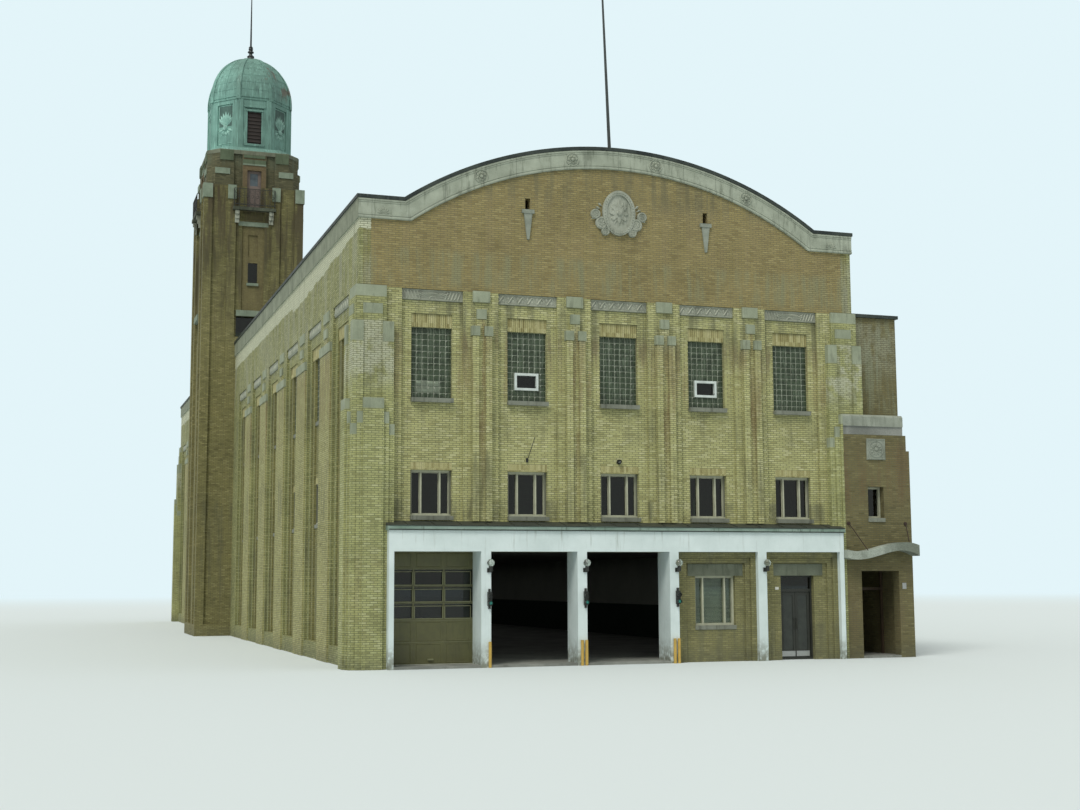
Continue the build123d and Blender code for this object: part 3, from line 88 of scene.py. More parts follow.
def finish(name):
    """A new finish: the material, and the place on the object in metres."""
    made = bpy.data.materials.new(name)
    made.use_nodes = True
    return made, node("TexCoord", {}, made.node_tree)["Object"]


def shader_of(made):
    """The shader of a finish."""
    return made.node_tree.nodes["Principled BSDF"]


def coated(made, tone, rough, height=None, strength=0.3, depth=0.004, more=None):
    """A finish with its colour, its roughness, a bump and what more its surface has."""
    inputs = {"Base Color": tone, "Roughness": rough, **(more or {})}
    if height:
        inputs["Normal"] = node("Bump", {"Strength": strength, "Distance": depth, "Height": height})[0]
    feed(shader_of(made), inputs)
    return made


def placed(name, data):
    """An object in the scene."""
    made = bpy.data.objects.new(name, data)
    bpy.context.scene.collection.objects.link(made)
    return made


world = bpy.data.worlds.new("overcast sky")
bpy.context.scene.world = world
world.use_nodes = True
sky = world.node_tree
pale_sky = (0.77, 0.91, 0.95)
daylight = sky.nodes["Background"]
feed(daylight, {0: (0.95, 1.0, 0.98), 1: 0.62})
backdrop = node("Background", {0: pale_sky, 1: 1.0}, sky)[0]
paths = node("LightPath", {}, sky)
seen = maths("MAXIMUM", paths["Is Camera Ray"], paths["Is Transmission Ray"])
feed(sky.nodes["World Output"], {0: node("MixShader", {0: seen, 1: daylight.outputs[0], 2: backdrop})[0]})

sunlight = bpy.data.lights.new("soft sun", "SUN")
sunlight.energy = 1.9
sunlight.angle = math.radians(24)
sunlight.color = (1.0, 0.97, 0.90)
placed("soft sun", sunlight).rotation_euler = (math.radians(36), 0, math.radians(-43))

ceiling_light = bpy.data.lights.new("soft hall light", "AREA")
ceiling_light.shape = "RECTANGLE"
ceiling_light.size = 6.5
ceiling_light.size_y = 26
ceiling_light.energy = 14
hall_light = placed("soft hall light", ceiling_light)
hall_light.location = (0.6, 14.5, 1.84)
hall_light.visible_camera = False

photo_width, focal_pixels = 1080, 1471.5
lens = bpy.data.cameras.new("camera")
lens.sensor_width = 36
lens.lens = focal_pixels / photo_width * lens.sensor_width
lens.clip_end = 500
camera = placed("camera", lens)
camera_place = (-9.34, -23.135, 1.385)
camera_turn = Matrix.Rotation(-0.3288, 4, "Z")
camera_tilt = Matrix.Rotation(math.pi / 2 + 0.1185, 4, "X")
camera_roll = Matrix.Rotation(-0.0045, 4, "Z")
camera.matrix_world = Matrix.Translation(camera_place) @ camera_turn @ camera_tilt @ camera_roll
bpy.context.scene.camera = camera
bpy.context.scene.view_settings.view_transform = "Standard"

floor_finish, place = finish("pale studio floor")
coated(floor_finish, (0.66, 0.72, 0.73), 0.9)
lit = node("Emission", {0: pale_sky, 1: 1.0}, floor_finish.node_tree)[0]
axes = split(place)
away = maths("SQRT", maths("ADD", times(axes[0], axes[0]), times(axes[1], axes[1])))
edge = node("MixShader", {0: fade(away, 45.0, 130.0), 1: shader_of(floor_finish).outputs[0], 2: lit})[0]
feed(floor_finish.node_tree.nodes["Material Output"], {0: edge})
floor_half = 240
floor_corners = [(floor_half * a, floor_half * b, 0) for a, b in ((-1, -1), (1, -1), (1, 1), (-1, 1))]
ground = bpy.data.meshes.new("floor")
ground.from_pydata(floor_corners, [], [(0, 1, 2, 3)])
ground.materials.append(floor_finish)
floor = placed("floor", ground)
floor.location.z = -0.001


# The floors are slabs of poured concrete, floated smooth and darkened where vehicles stand.
# They bear on the brick walls, and the ground slab runs out to the piers under the vehicle doors.
def over(amount, under, top, how="MIX"):
    """One colour laid over another by an amount from 0 to 1."""
    return node("Mix", {0: amount, 6: under, 7: top}, data_type="RGBA", blend_type=how)[2]


def ramp(value, *stops):
    """A row of colours, each at its own place from 0 to 1."""
    colours = node("ValToRGB", {0: value})[0]
    marks = colours.node.color_ramp.elements
    for mark, (at, colour) in zip(marks, (stops[0], stops[-1])):
        mark.position = at
        mark.color = (*colour, 1)
    for at, colour in stops[1:-1]:
        marks.new(at).color = (*colour, 1)
    return colours


def clouds(place, size, detail, stretch=(1, 1, 1)):
    """Soft noise whose patches are about size metres across, drawn out by stretch."""
    moved_place = node("Mapping", {0: place, 3: tuple(1 / (size * s) for s in stretch)})[0]
    return node("TexNoise", {"Vector": moved_place, "Scale": 1.0, "Detail": detail, "Roughness": 0.6})[0]


def flecked(tone, amount, noise, *stops):
    """A colour multiplied, by an amount, with the tints of a noise."""
    return over(amount, tone, ramp(noise, *stops), "MULTIPLY")


def streaked(tone, place, colour, amount, size, detail, long, low, high):
    """Patches of another colour, or runs of it where the noise is drawn out long."""
    runs = fade(clouds(place, size, detail, (1, 1, long)), low, high)
    return over(times(runs, amount), tone, colour)


def scaled(colour, share):
    """A colour made darker, or lighter, by a share."""
    return tuple(share * c for c in colour)


def wear(made, *nodes):
    """Gives a finish to CAD pieces."""
    for name in nodes:
        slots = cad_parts[name].data.materials
        slots.clear()
        slots.append(made)


def cast(name, colour, dark, grain=0.012, bump=0.35):
    """Poured concrete: cloudy, with damp patches and small air holes."""
    made, place = finish(name)
    tone = over(fade(clouds(place, 0.7, 5), 0.35, 0.65), dark, colour)
    speck = clouds(place, grain, 2)
    tone = flecked(tone, 0.45, speck, (0.3, (0.35, 0.35, 0.33)), (0.7, (1, 1, 1)))
    tone = streaked(tone, place, scaled(dark, 0.45), 0.4, 0.25, 3, 8, 0.55, 0.75)
    return coated(made, tone, 0.85, speck, bump)


wear(cast("floated concrete", (0.30, 0.31, 0.28), (0.19, 0.20, 0.18)), "ground_floors", "upper_floors")


# The barrel roof is boarded and covered with strips of roofing felt, lapped and bonded.
# The laps run over the vault like hoops, about a metre apart, and stand a few millimetres up.
half = 4.545
hall_depth = 31.0
arch_rise = 1.175
arch_span = 3.677
arch_radius = (arch_span**2 + arch_rise**2) / (2 * arch_rise)
shoulder = 7.27
arch_centre = shoulder + arch_rise - arch_radius
vault_radius = arch_radius - 0.1
tower_left, tower_right, tower_front, tower_back = -5.45, -2.81, 15.75, 18.39
rightward, inward, skyward = Vector((1, 0, 0)), Vector((0, 1, 0)), Vector((0, 0, 1))


def joined(parts):
    """Several lots of points and faces as one."""
    points = []
    faces = []
    for some_points, some_faces in parts:
        first = len(points)
        points += some_points
        faces += [tuple(first + i for i in face) for face in some_faces]
    return points, faces


def skinned(rings, foot=False, top=False):
    """Rings of points joined each to the next by faces, and closed at the foot or the top."""
    count = len(rings[0])
    faces = []
    for r in range(len(rings) - 1):
        for i in range(count):
            j = (i + 1) % count
            faces.append(tuple(count * a + b for a, b in ((r, i), (r, j), (r + 1, j), (r + 1, i))))
    if foot:
        faces.append(tuple(range(count))[::-1])
    if top:
        faces.append(tuple(count * (len(rings) - 1) + i for i in range(count)))
    return [point for ring_points in rings for point in ring_points], faces


def strip(path, section):
    """A section of (across, up) points swept along a path of (origin, across, up) frames."""
    rings = [[origin + across * a + up * b for a, b in section] for origin, across, up in path]
    return skinned(rings, foot=True, top=True)


def piece(name, parts, coat, body="building", smooth=False):
    """A mesh of parts that rides on a body and wears the finish it is given."""
    points, faces = joined(parts)
    shape = bpy.data.meshes.new(name)
    shape.from_pydata([tuple(p) for p in points], [], faces)
    if smooth:
        shape.shade_smooth()
    shape.materials.append(coat)
    made = placed(name, shape)
    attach(made, body)


felt, place = finish("roofing felt")
tone = over(fade(clouds(place, 1.1, 5), 0.3, 0.7), (0.085, 0.09, 0.085), (0.16, 0.165, 0.15))
grit = clouds(place, 0.006, 2)
tone = flecked(tone, 0.5, grit, (0.3, (0.5, 0.5, 0.5)), (0.7, (1.2, 1.2, 1.15)))
tone = streaked(tone, place, (0.09, 0.11, 0.05), 0.5, 0.4, 5, 1, 0.62, 0.72)
coated(felt, tone, 0.9, grit, 0.5, 0.003)
wear(felt, "roof_vault", "wing_roof")

parapet = 0.21
lap_width, lap_height = 0.07, 0.006
lap_count, lap_start, lap_pitch = 30, 0.75, 1.02
lap_section = [(0, -0.002), (lap_width, -0.002), (lap_width, lap_height * 0.6), (0.004, lap_height)]
laps = []
for i in range(lap_count):
    y = lap_start + i * lap_pitch
    beside_tower = tower_front - lap_width < y < tower_back
    start = tower_right + 0.01 if beside_tower else parapet - half
    path = []
    for step in range(33):
        x = start + (half - parapet - start) * step / 32
        up = Vector((x, 0, math.sqrt(vault_radius**2 - x**2)))
        path.append((up + Vector((0, y, arch_centre)), inward, up.normalized()))
    laps.append(strip(path, lap_section))
piece("roof_laps", laps, felt)


# The hall's walls are hard buff brick in fine level courses, two courses to 71 mm, with ribs,
# recessed bays and soldier courses over the windows. Soot and rust have run down the grooves.
course = 0.0355
brick_length = 0.1175
joint = 0.0055
plaster_depth = 0.199


def courses(place):
    """A flat map for level courses: along the face and up it, or across a top."""
    axes = split(place)
    steep = [maths("ABSOLUTE", way) for way in split(place.node.outputs["Normal"])]
    sideways = maths("GREATER_THAN", steep[0], steep[1])
    level = maths("GREATER_THAN", steep[2], 0.8)
    along = node("Mix", {0: sideways, 2: axes[0], 3: axes[1]}, data_type="FLOAT")[0]
    upward = node("Mix", {0: level, 2: axes[2], 3: axes[1]}, data_type="FLOAT")[0]
    return node("CombineXYZ", {0: along, 1: upward})[0]


def beyond(tone, place, limit):
    """A colour multiplied by a tint where one axis, either way, passes from low to high."""
    axis, low, high, tint = limit
    return over(fade(maths("ABSOLUTE", split(place)[axis]), low, high), tone, tint, "MULTIPLY")


def brickwork(
        name, tones, mortar, stains, patch=0.35, soot=0.35, room=False, washed=None, limit=None, bloom=None):
    """Brick in level courses: each brick its own tone, with joints, patches, soot and stains.

    A limit tints what is past it, washed is whitewash run down from the top, bloom is lime between
    two heights, and room is plaster on the faces inside the hall.
    """
    made, place = finish(name)
    axes = split(place)
    inputs = {
        "Vector": courses(place), "Color1": (0, 0, 0), "Color2": (1, 1, 1), "Mortar": (0.5, 0.5, 0.5),
        "Scale": 1.0, "Mortar Size": joint, "Mortar Smooth": 0.3,
        "Brick Width": brick_length, "Row Height": course,
    }
    own, joints = node("TexBrick", inputs, offset=0.5)
    dark, middle, light = tones
    tone = ramp(own, (0.0, dark), (0.25, middle), (0.7, middle), (1.0, light))
    wide = clouds(place, 0.9, 5)
    tone = flecked(tone, patch, wide, (0.3, (0.55, 0.55, 0.5)), (0.5, (1, 1, 1)), (0.72, (1.25, 1.22, 1.2)))
    small = clouds(place, 0.09, 4)
    tone = flecked(tone, patch * 0.8, small, (0.3, (0.6, 0.6, 0.55)), (0.6, (1.1, 1.1, 1.1)))
    pointing = over(fade(wide, 0.35, 0.65), scaled(mortar, 0.75), mortar)
    if limit:
        tone = beyond(tone, place, limit)
    runs = clouds(place, 0.16, 4, (1, 1, 9))
    for low, high, colour, amount in stains:
        rise = fade(axes[2], low, low + 0.3 * (high - low))
        fall = fade(axes[2], high - 0.2 * (high - low), high, 1.0, 0.0)
        tone = over(times(times(rise, fall), times(fade(runs, 0.42, 0.66), amount)), tone, colour)
    if bloom:
        low, high, colour, amount = bloom
        blotches = times(fade(clouds(place, 0.32, 7), 0.42, 0.52), fade(small, 0.35, 0.55, 0.55, 1.0))
        ends = times(fade(axes[2], low, low + 0.5), fade(axes[2], high, high + 0.05, 1.0, 0.0))
        tone = over(times(blotches, ends, amount), tone, colour)
    if washed:
        low, fall, bend, colour = washed
        run_down = times(maths("MINIMUM", axes[1], bend), fall)
        step_back = fade(axes[1], bend, bend + 0.3, 0.0, 0.12)
        edge = maths("ADD", axes[2], maths("SUBTRACT", run_down, step_back))
        edge = maths("ADD", edge, times(clouds(place, 0.4, 6), 0.22))
        chalk = flecked(colour, 0.3, small, (0.3, (0.6, 0.6, 0.55)), (0.6, (1, 1, 1)))
        tone = over(times(fade(edge, low, low + 0.03), 0.92), tone, chalk)
    tone = over(times(fade(runs, 0.56, 0.75), soot), tone, scaled(dark, 0.4))
    foot = times(fade(axes[2], 0.0, 0.35, 1.0, 0.0), fade(small, 0.3, 0.6))
    tone = over(times(foot, 0.55), tone, (0.08, 0.085, 0.06))
    tone = over(times(joints, 0.8), tone, pointing)
    height = maths("SUBTRACT", times(small, 0.35), joints)
    if room:
        inside = times(
            maths("LESS_THAN", maths("ABSOLUTE", axes[0]), half - plaster_depth),
            maths("GREATER_THAN", axes[1], plaster_depth),
            maths("LESS_THAN", axes[1], hall_depth - plaster_depth))
        plaster = over(fade(axes[2], 0.80, 0.81), (0.025, 0.05, 0.03), (0.42, 0.45, 0.38))
        plaster = flecked(plaster, 0.4, wide, (0.3, (0.5, 0.5, 0.5)), (0.7, (1, 1, 1)))
        tone = over(inside, tone, plaster)
        height = times(height, maths("SUBTRACT", 1.0, inside))
    return coated(made, tone, fade(small, 0.2, 0.8, 0.82, 0.95), height, 0.8)


buff_tones = ((0.31, 0.30, 0.125), (0.435, 0.43, 0.195), (0.54, 0.53, 0.29))
buff_joints = (0.13, 0.135, 0.075)
rust = (0.23, 0.15, 0.075)
# This dark colour is dirt on most walls, and painted shade under the portico beam on the infill.
grime_and_shade = (0.10, 0.105, 0.07)
frost = (0.42, 0.43, 0.33)
buff_stains = (
    (4.9, 6.2, grime_and_shade, 0.55),
    (4.2, 5.6, rust, 0.45),
    (2.3, 2.75, grime_and_shade, 0.6),
    (3.6, 4.35, grime_and_shade, 0.3),
)
wear(brickwork("buff brick", buff_tones, buff_joints, buff_stains, room=True), "front_wall", "rear_wall")

bay_pitch = 1.65
rib_stains = ((3.9, 5.7, rust, 0.5), (5.2, 6.0, frost, 0.3), (2.3, 3.6, grime_and_shade, 0.4))
dull_sides = (0, half + 0.005, half + 0.015, (0.82, 0.80, 0.74))
ribs = brickwork("rib brick", buff_tones, buff_joints, rib_stains, soot=0.5, limit=dull_sides)
wear(ribs, "pilasters")


def under_change(made):
    """A finish's colour so far, and the place on the object."""
    place = node("TexCoord", {}, made.node_tree)["Object"]
    return shader_of(made).inputs["Base Color"].links[0].from_socket, place


fresh, place = under_change(ribs)
axes = split(place)
groove = fade(maths("PINGPONG", maths("ADD", axes[0], bay_pitch / 2), bay_pitch / 2), 0.075, 0.045)
dripped = fade(clouds(place, 0.22, 6, (1, 1, 5)), 0.42, 0.62)
rusting = times(groove, times(fade(axes[2], 2.6, 4.6, 0.1, 0.6), dripped))
feed(shader_of(ribs), {"Base Color": over(rusting, fresh, (0.16, 0.095, 0.042))})

side_tones = ((0.17, 0.18, 0.065), (0.27, 0.275, 0.11), (0.37, 0.375, 0.18))
side_joints = (0.12, 0.125, 0.065)
side_stains = ((5.6, 7.3, frost, 0.6), (4.0, 5.7, grime_and_shade, 0.5), (0.2, 2.4, grime_and_shade, 0.35))
# The brick in the recessed bays of the side walls is darkened: painted shade in the recesses.
side_recess_painted_shade = (0, half - 0.06, half - 0.08, (0.80, 0.74, 0.62))
old_wash = (7.19, 0.045, 6.4, (0.60, 0.62, 0.46))
for name, washed, wall in (("side", None, "right_wall"), ("washed side", old_wash, "left_wall")):
    side_brick = brickwork(
        name + " wall brick", side_tones, side_joints, side_stains,
        soot=0.5, room=True, washed=washed, limit=side_recess_painted_shade)
    wear(side_brick, wall)

pier_tones = ((0.26, 0.265, 0.11), (0.37, 0.38, 0.165), (0.46, 0.47, 0.25))
pier_stains = ((4.2, 5.9, grime_and_shade, 0.3), (0.3, 2.0, rust, 0.2))
lime = (4.35, 5.55, (0.50, 0.51, 0.40), 0.7)
pier_brick = brickwork("corner pier brick", pier_tones, (0.14, 0.15, 0.08), pier_stains, 0.5, bloom=lime)
wear(pier_brick, "corner_piers")


def shift(x=0.0, y=0.0, z=0.0):
    """A move."""
    return Matrix.Translation((x, y, z))


def spun(angle):
    """A turn round the upright axis."""
    return Matrix.Rotation(angle, 4, "Z")


bays = [bay_pitch * i for i in (-2, -1, 0, 1, 2)]
pier_places = [x + bay_pitch / 2 for x in bays[:-1]]
front_bays = [shift(x) for x in bays]
half_turn = spun(math.pi)
rear_bays = [shift(x, hall_depth) @ half_turn for x in bays]
left_start, left_pitch, back_pitch = 0.195, 2.53, 2.483
right_start, right_pitch = 5.305, 2.55
left_rows = [left_start + left_pitch * (i + 0.5) for i in range(6)]
left_rows += [tower_back + back_pitch * (i + 0.5) for i in range(5)]
right_rows = [right_start + right_pitch * (i + 0.5) for i in range(10)]
side_bays = [shift(-half, y) @ spun(-math.pi / 2) for y in left_rows]
side_bays += [shift(half, y) @ spun(math.pi / 2) for y in right_rows]


def cut_blocks(blocks, bevel):
    """Square-cut pieces, each given by two corners, with their edges taken off."""
    shape = bmesh.new()
    for low, high in blocks:
        for corner in bmesh.ops.create_cube(shape, size=1)["verts"]:
            corner.co = [a + (c + 0.5) * (b - a) for a, b, c in zip(low, high, corner.co)]
    bmesh.ops.bevel(shape, geom=shape.edges[:], offset=bevel, segments=1, affect="EDGES")
    shape.verts.index_update()
    points = [v.co.copy() for v in shape.verts]
    faces = [tuple(v.index for v in face.verts) for face in shape.faces]
    shape.free()
    return points, faces


def laid(part, turns):
    """The same piece laid down once for each turn."""
    points, faces = part
    return joined([([turn @ p for p in points], faces) for turn in turns])


def moved(part, x=0.0, y=0.0, z=0.0):
    """A piece moved."""
    return laid(part, [shift(x, y, z)])


def each_own(place, cell):
    """A number of its own for each cell of a grid."""
    return node("TexWhiteNoise", {0: node("VectorMath", {0: place, 1: cell}, operation="SNAP")[0]})[0]


def soldiers(width, low, high, front, back):
    """Bricks on end in a row, over an opening that is width across."""
    count = round(width / (course + 0.002))
    pitch = width / count
    gap = joint / 2
    starts = [i * pitch - width / 2 for i in range(count)]
    return [((x + gap, front, low + gap), (x + pitch - gap, back, high - gap)) for x in starts]


window_width = 0.694
side_window_width = 0.56
side_step_width = 1.0
head_low, head_high = 5.525, 5.75
low_head, low_head_top = 3.175, 3.30
front_soldiers = soldiers(window_width, head_low, head_high, 0.081, 0.096)
front_soldiers += soldiers(window_width, low_head, low_head_top, 0.057, 0.0605)
side_soldiers = soldiers(side_step_width, head_low, head_high, 0.071, 0.086)
side_soldiers += soldiers(side_window_width, low_head, low_head_top, 0.112, 0.1155)
end_brick, place = finish("yellow soldier brick")
own = each_own(place, (0.0375, 0.0375, 0.4))
tone = ramp(own, (0, (0.25, 0.22, 0.09)), (0.5, (0.37, 0.345, 0.16)), (1, (0.46, 0.43, 0.23)))
mottle = clouds(place, 0.03, 4)
tone = flecked(tone, 0.35, mottle, (0.3, (0.5, 0.5, 0.45)), (0.6, (1.1, 1.1, 1.1)))
coated(end_brick, tone, 0.88, mottle, 0.4, 0.002)
soldier_rows = [
    laid(cut_blocks(front_soldiers, 0.0012), front_bays + rear_bays),
    laid(cut_blocks(side_soldiers, 0.0012), side_bays),
]
piece("soldier_courses", soldier_rows, end_brick)


# The gable above the frieze is an orange-tan brick, rebuilt later in the same courses.
# Its lowest metre keeps the green cast of the old wall, and soot lies under the coping.
gable_tones = ((0.205, 0.16, 0.062), (0.27, 0.22, 0.088), (0.33, 0.275, 0.118))
gable_stains = (
    (6.1, 6.9, (0.24, 0.25, 0.14), 0.8),
    (7.6, 8.6, grime_and_shade, 0.45),
    (6.6, 8.0, (0.30, 0.24, 0.12), 0.4),
)
wear(brickwork("orange gable brick", gable_tones, (0.17, 0.155, 0.09), gable_stains, 0.3, 0.2), "front_gable")


# The parapets are capped with cast stone in lengths of 0.62 m, moulded on both edges.
# A dark metal flashing is dressed over the top, and rosettes and leaves are carved on the front.
def stonework(name, colour, dark, stain, streaks, block=0.0, limit=None):
    """Cast stone: fine grained, streaked, green in the damp and, where asked, jointed."""
    made, place = finish(name)
    tone = ramp(clouds(place, 0.35, 5), (0.3, dark), (0.7, colour))
    tone = streaked(tone, place, stain, streaks, 0.07, 4, 6, 0.5, 0.72)
    grain = clouds(place, 0.008, 3)
    tone = flecked(tone, 0.4, grain, (0.3, (0.6, 0.6, 0.58)), (0.65, (1.1, 1.1, 1.1)))
    height = times(grain, 0.4)
    if limit:
        tone = beyond(tone, place, limit)
    if block:
        inputs = {"Vector": courses(place), "Scale": 1.0, "Mortar Size": 0.005, "Mortar Smooth": 0.2}
        cuts = node("TexBrick", {**inputs, "Brick Width": block, "Row Height": 40.0}, offset=0.0)[1]
        tone = over(times(cuts, 0.7), tone, scaled(dark, 0.5))
        height = maths("SUBTRACT", height, cuts)
    return coated(made, tone, 0.88, height, 0.5)


side_coping = (0, half + 0.02, half + 0.024, (0.66, 0.66, 0.60))
coping_stone = stonework(
    "coping stone", (0.42, 0.46, 0.37), (0.265, 0.295, 0.23), (0.08, 0.095, 0.065), 0.5, 0.62, side_coping)
wear(coping_stone, "copings")

lead, place = finish("dark metal flashing")
dull = fade(clouds(place, 0.3, 5), 0.35, 0.65)
tone = over(dull, (0.020, 0.028, 0.026), (0.052, 0.066, 0.056))
tone = streaked(tone, place, (0.14, 0.16, 0.15), 0.4, 0.05, 4, 3, 0.6, 0.75)
coated(lead, tone, fade(dull, 0.0, 1.0, 0.45, 0.7), clouds(place, 0.15, 3), 0.25, 0.006, {"Metallic": 0.35})
wear(lead, "parapet_flashings")

coping_face = 0.025
coping_height = 0.33


def spoke(angle):
    """An arm of one metre in the plane of a face, turned from upright."""
    return Vector((math.sin(angle), 0, math.cos(angle)))


def gable_line(rise, y, out):
    """Frames along the parapet at a height above its brickwork, from one shoulder to the other."""
    radius = arch_radius + rise
    foot = shoulder + rise
    meet = math.sqrt(radius**2 - (foot - arch_centre) ** 2)
    flats = [
        (Vector((x, y, foot)), inward * out, skyward)
        for x in (-half - coping_face, -meet - 0.01, meet + 0.01, half + coping_face)
    ]
    curve = []
    for step in range(49):
        up = spoke(math.asin(meet / radius) * (step / 24 - 1))
        curve.append((Vector((0, y, arch_centre)) + up * radius, inward * out, up))
    return flats[:2] + curve + flats[2:]


roll = [(-0.002, 0.0), (0.012, 0.004), (0.016, 0.02), (0.012, 0.036), (-0.002, 0.04)]
fillet = [(-0.002, 0.0), (0.008, 0.0), (0.008, 0.016), (-0.002, 0.016)]
mouldings = []
for y, out in ((-coping_face, -1), (hall_depth + coping_face, 1)):
    for rise, section in ((0.004, roll), (0.058, fillet), (0.268, fillet), (0.288, roll)):
        mouldings.append(strip(gable_line(rise, y, out), section))
piece("coping_mouldings", mouldings, coping_stone)


def petals(count, inner, outer, width, height, start=0.0):
    """A ring of raised leaf blades round a centre, each with a ridge down its middle."""
    blades = []
    middle = inner + (outer - inner) * 0.6
    for i in range(count):
        angle = start + 2 * math.pi * i / count
        run = spoke(angle)
        aside = spoke(angle + math.pi / 2) * width
        waist = run * middle
        points = [run * inner, run * outer, waist + aside, waist - aside, waist - inward * height]
        blades.append((points, [(0, 2, 4), (2, 1, 4), (1, 3, 4), (3, 0, 4)]))
    return joined(blades)


def turned(profile, sides, top=False):
    """A round shape on a face, from a profile of radii and heights."""
    around = [spoke(2 * math.pi * i / sides) for i in range(sides)]
    rings = [[out * radius - inward * height for out in around] for radius, height in profile]
    return skinned(rings, top=top)


def boss(radius, height, sides=16):
    """A low round boss with a rolled edge."""
    profile = ((1.0, 0.0), (0.94, 0.6), (0.75, 0.9), (0.4, 1.0))
    return turned([(radius * share, height * up) for share, up in profile], sides, top=True)


def ring(radius, width, height, sides=32):
    """A raised round rim."""
    profile = ((0.5, 0.0), (0.3, 0.8), (0.0, 1.0), (-0.3, 0.8), (-0.5, 0.0))
    return turned([(radius + width * share, height * up) for share, up in profile], sides)


rosette = joined([
    petals(8, 0.02, 0.098, 0.026, 0.022),
    petals(8, 0.02, 0.075, 0.018, 0.026, math.pi / 8),
    boss(0.03, 0.03),
    ring(0.112, 0.018, 0.014),
])
carved = stonework("carved coping stone", (0.41, 0.44, 0.355), (0.24, 0.27, 0.21), (0.08, 0.09, 0.07), 0.4)
carving_face = -coping_face - 0.002
rosette_turns = []
rosette_places = (-2.475, -0.845, 0.705, 2.445)
for x in rosette_places:
    lean = math.asin(x / (arch_radius + coping_height / 2))
    up = spoke(lean) * (arch_radius + coping_height / 2 + 0.005)
    tilt = Matrix.Rotation(lean, 4, "Y")
    rosette_turns.append(shift(up.x, carving_face, arch_centre + up.z) @ tilt)
    rosette_turns.append(shift(-up.x, hall_depth - carving_face, arch_centre + up.z) @ half_turn @ tilt)
coping_carving = [laid(rosette, rosette_turns)]
spray_x, spray_z = 4.15, shoulder + 0.075
for side in (-1, 1):
    spray_turns = [shift(side * spray_x, carving_face, spray_z)]
    spray_turns.append(shift(-side * spray_x, hall_depth - carving_face, spray_z) @ half_turn)
    for i in range(-3, 4):
        blade = petals(1, 0.01, 0.14 - 0.008 * abs(i), 0.02, 0.016, side * i * 0.42)
        coping_carving.append(laid(blade, spray_turns))
piece("coping_rosettes", coping_carving, carved)


# The friezes are grey stone slabs in the head of each bay, carved in low relief.
# The end bays have fans of leaves and the others a row of plain zigzags between two fillets.
frieze_stone = stonework("frieze stone", (0.34, 0.355, 0.29), (0.22, 0.23, 0.185), (0.08, 0.085, 0.06), 0.45)
# The carving is a lighter copy of the frieze stone: painted light on the raised relief against the darker
# ground.
frieze_relief_painted_light = stonework(
    "carved frieze stone", (0.50, 0.52, 0.43), (0.34, 0.36, 0.29), (0.10, 0.11, 0.08), 0.25)
wear(frieze_stone, "friezes")
frieze_low, frieze_high = 5.97, 6.15
frieze_face = 0.0355
relief = 0.022


def ridge(start, end, width, height):
    """A straight raised line between two places on a panel."""
    a, b = Vector((start[0], 0, start[1])), Vector((end[0], 0, end[1]))
    run = (b - a).normalized()
    aside = Vector((-run.z, 0, run.x)) * width / 2
    up = -inward * height
    points = [a - aside, a + aside, b + aside, b - aside, a + up + run * width / 2, b + up - run * width / 2]
    return points, [(0, 4, 5, 3), (1, 2, 5, 4), (0, 1, 4), (2, 3, 5)]


def fillets(width):
    """Two level ridges, along the foot and the head of a frieze."""
    heights = (frieze_low + 0.012, frieze_high - 0.012)
    return [ridge((-width / 2, z), (width / 2, z), 0.014, relief * 0.7) for z in heights]


def zigzags(width, count):
    """A row of zigzags with a small leaf in each notch, framed by two fillets."""
    parts = fillets(width)
    pitch = width / count
    low, high = frieze_low + 0.028, frieze_high - 0.028
    for i in range(count):
        x = -width / 2 + i * pitch
        middle = x + pitch / 2
        parts.append(ridge((x, low), (middle, high), 0.02, relief))
        parts.append(ridge((middle, high), (x + pitch, low), 0.02, relief))
        parts.append(moved(petals(1, 0.0, 0.07, 0.016, relief * 0.8), middle, 0, low))
        parts.append(moved(petals(1, 0.0, 0.07, 0.016, relief * 0.8, math.pi), x, 0, high))
    return joined(parts)


def leaf_fans(width):
    """Leaves fanning out from a half round in the middle, framed by two fillets."""
    parts = fillets(width)
    low = frieze_low + 0.022
    for i in range(-9, 10):
        angle = i * 0.15
        reach = min(0.125 / max(math.cos(angle), 0.3), 0.34)
        parts.append(moved(petals(1, 0.06, reach, 0.011, relief, angle), z=low))
    for side in (-1, 1):
        for i in range(5):
            x = side * (0.26 + i * 0.055)
            parts.append(ridge((x - side * 0.05, low), (x, frieze_high - 0.025), 0.02, relief))
    angles = [math.pi * i / 8 for i in range(9)]
    half_round = [(0.05 * math.cos(angle), low + 0.05 * math.sin(angle)) for angle in angles]
    parts += [ridge(start, end, 0.018, relief) for start, end in zip(half_round, half_round[1:])]
    return joined(parts)


in_face = shift(0, frieze_face)
ends = [front_bays[0], front_bays[4], rear_bays[0], rear_bays[4]]
frieze_carving = [
    laid(leaf_fans(1.02), [turn @ in_face for turn in ends]),
    laid(zigzags(1.02, 6), [turn @ in_face for turn in front_bays[1:4] + rear_bays[1:4]]),
    laid(zigzags(1.32, 8), [turn @ in_face for turn in side_bays]),
]
piece("frieze_carving", frieze_carving, frieze_relief_painted_light)


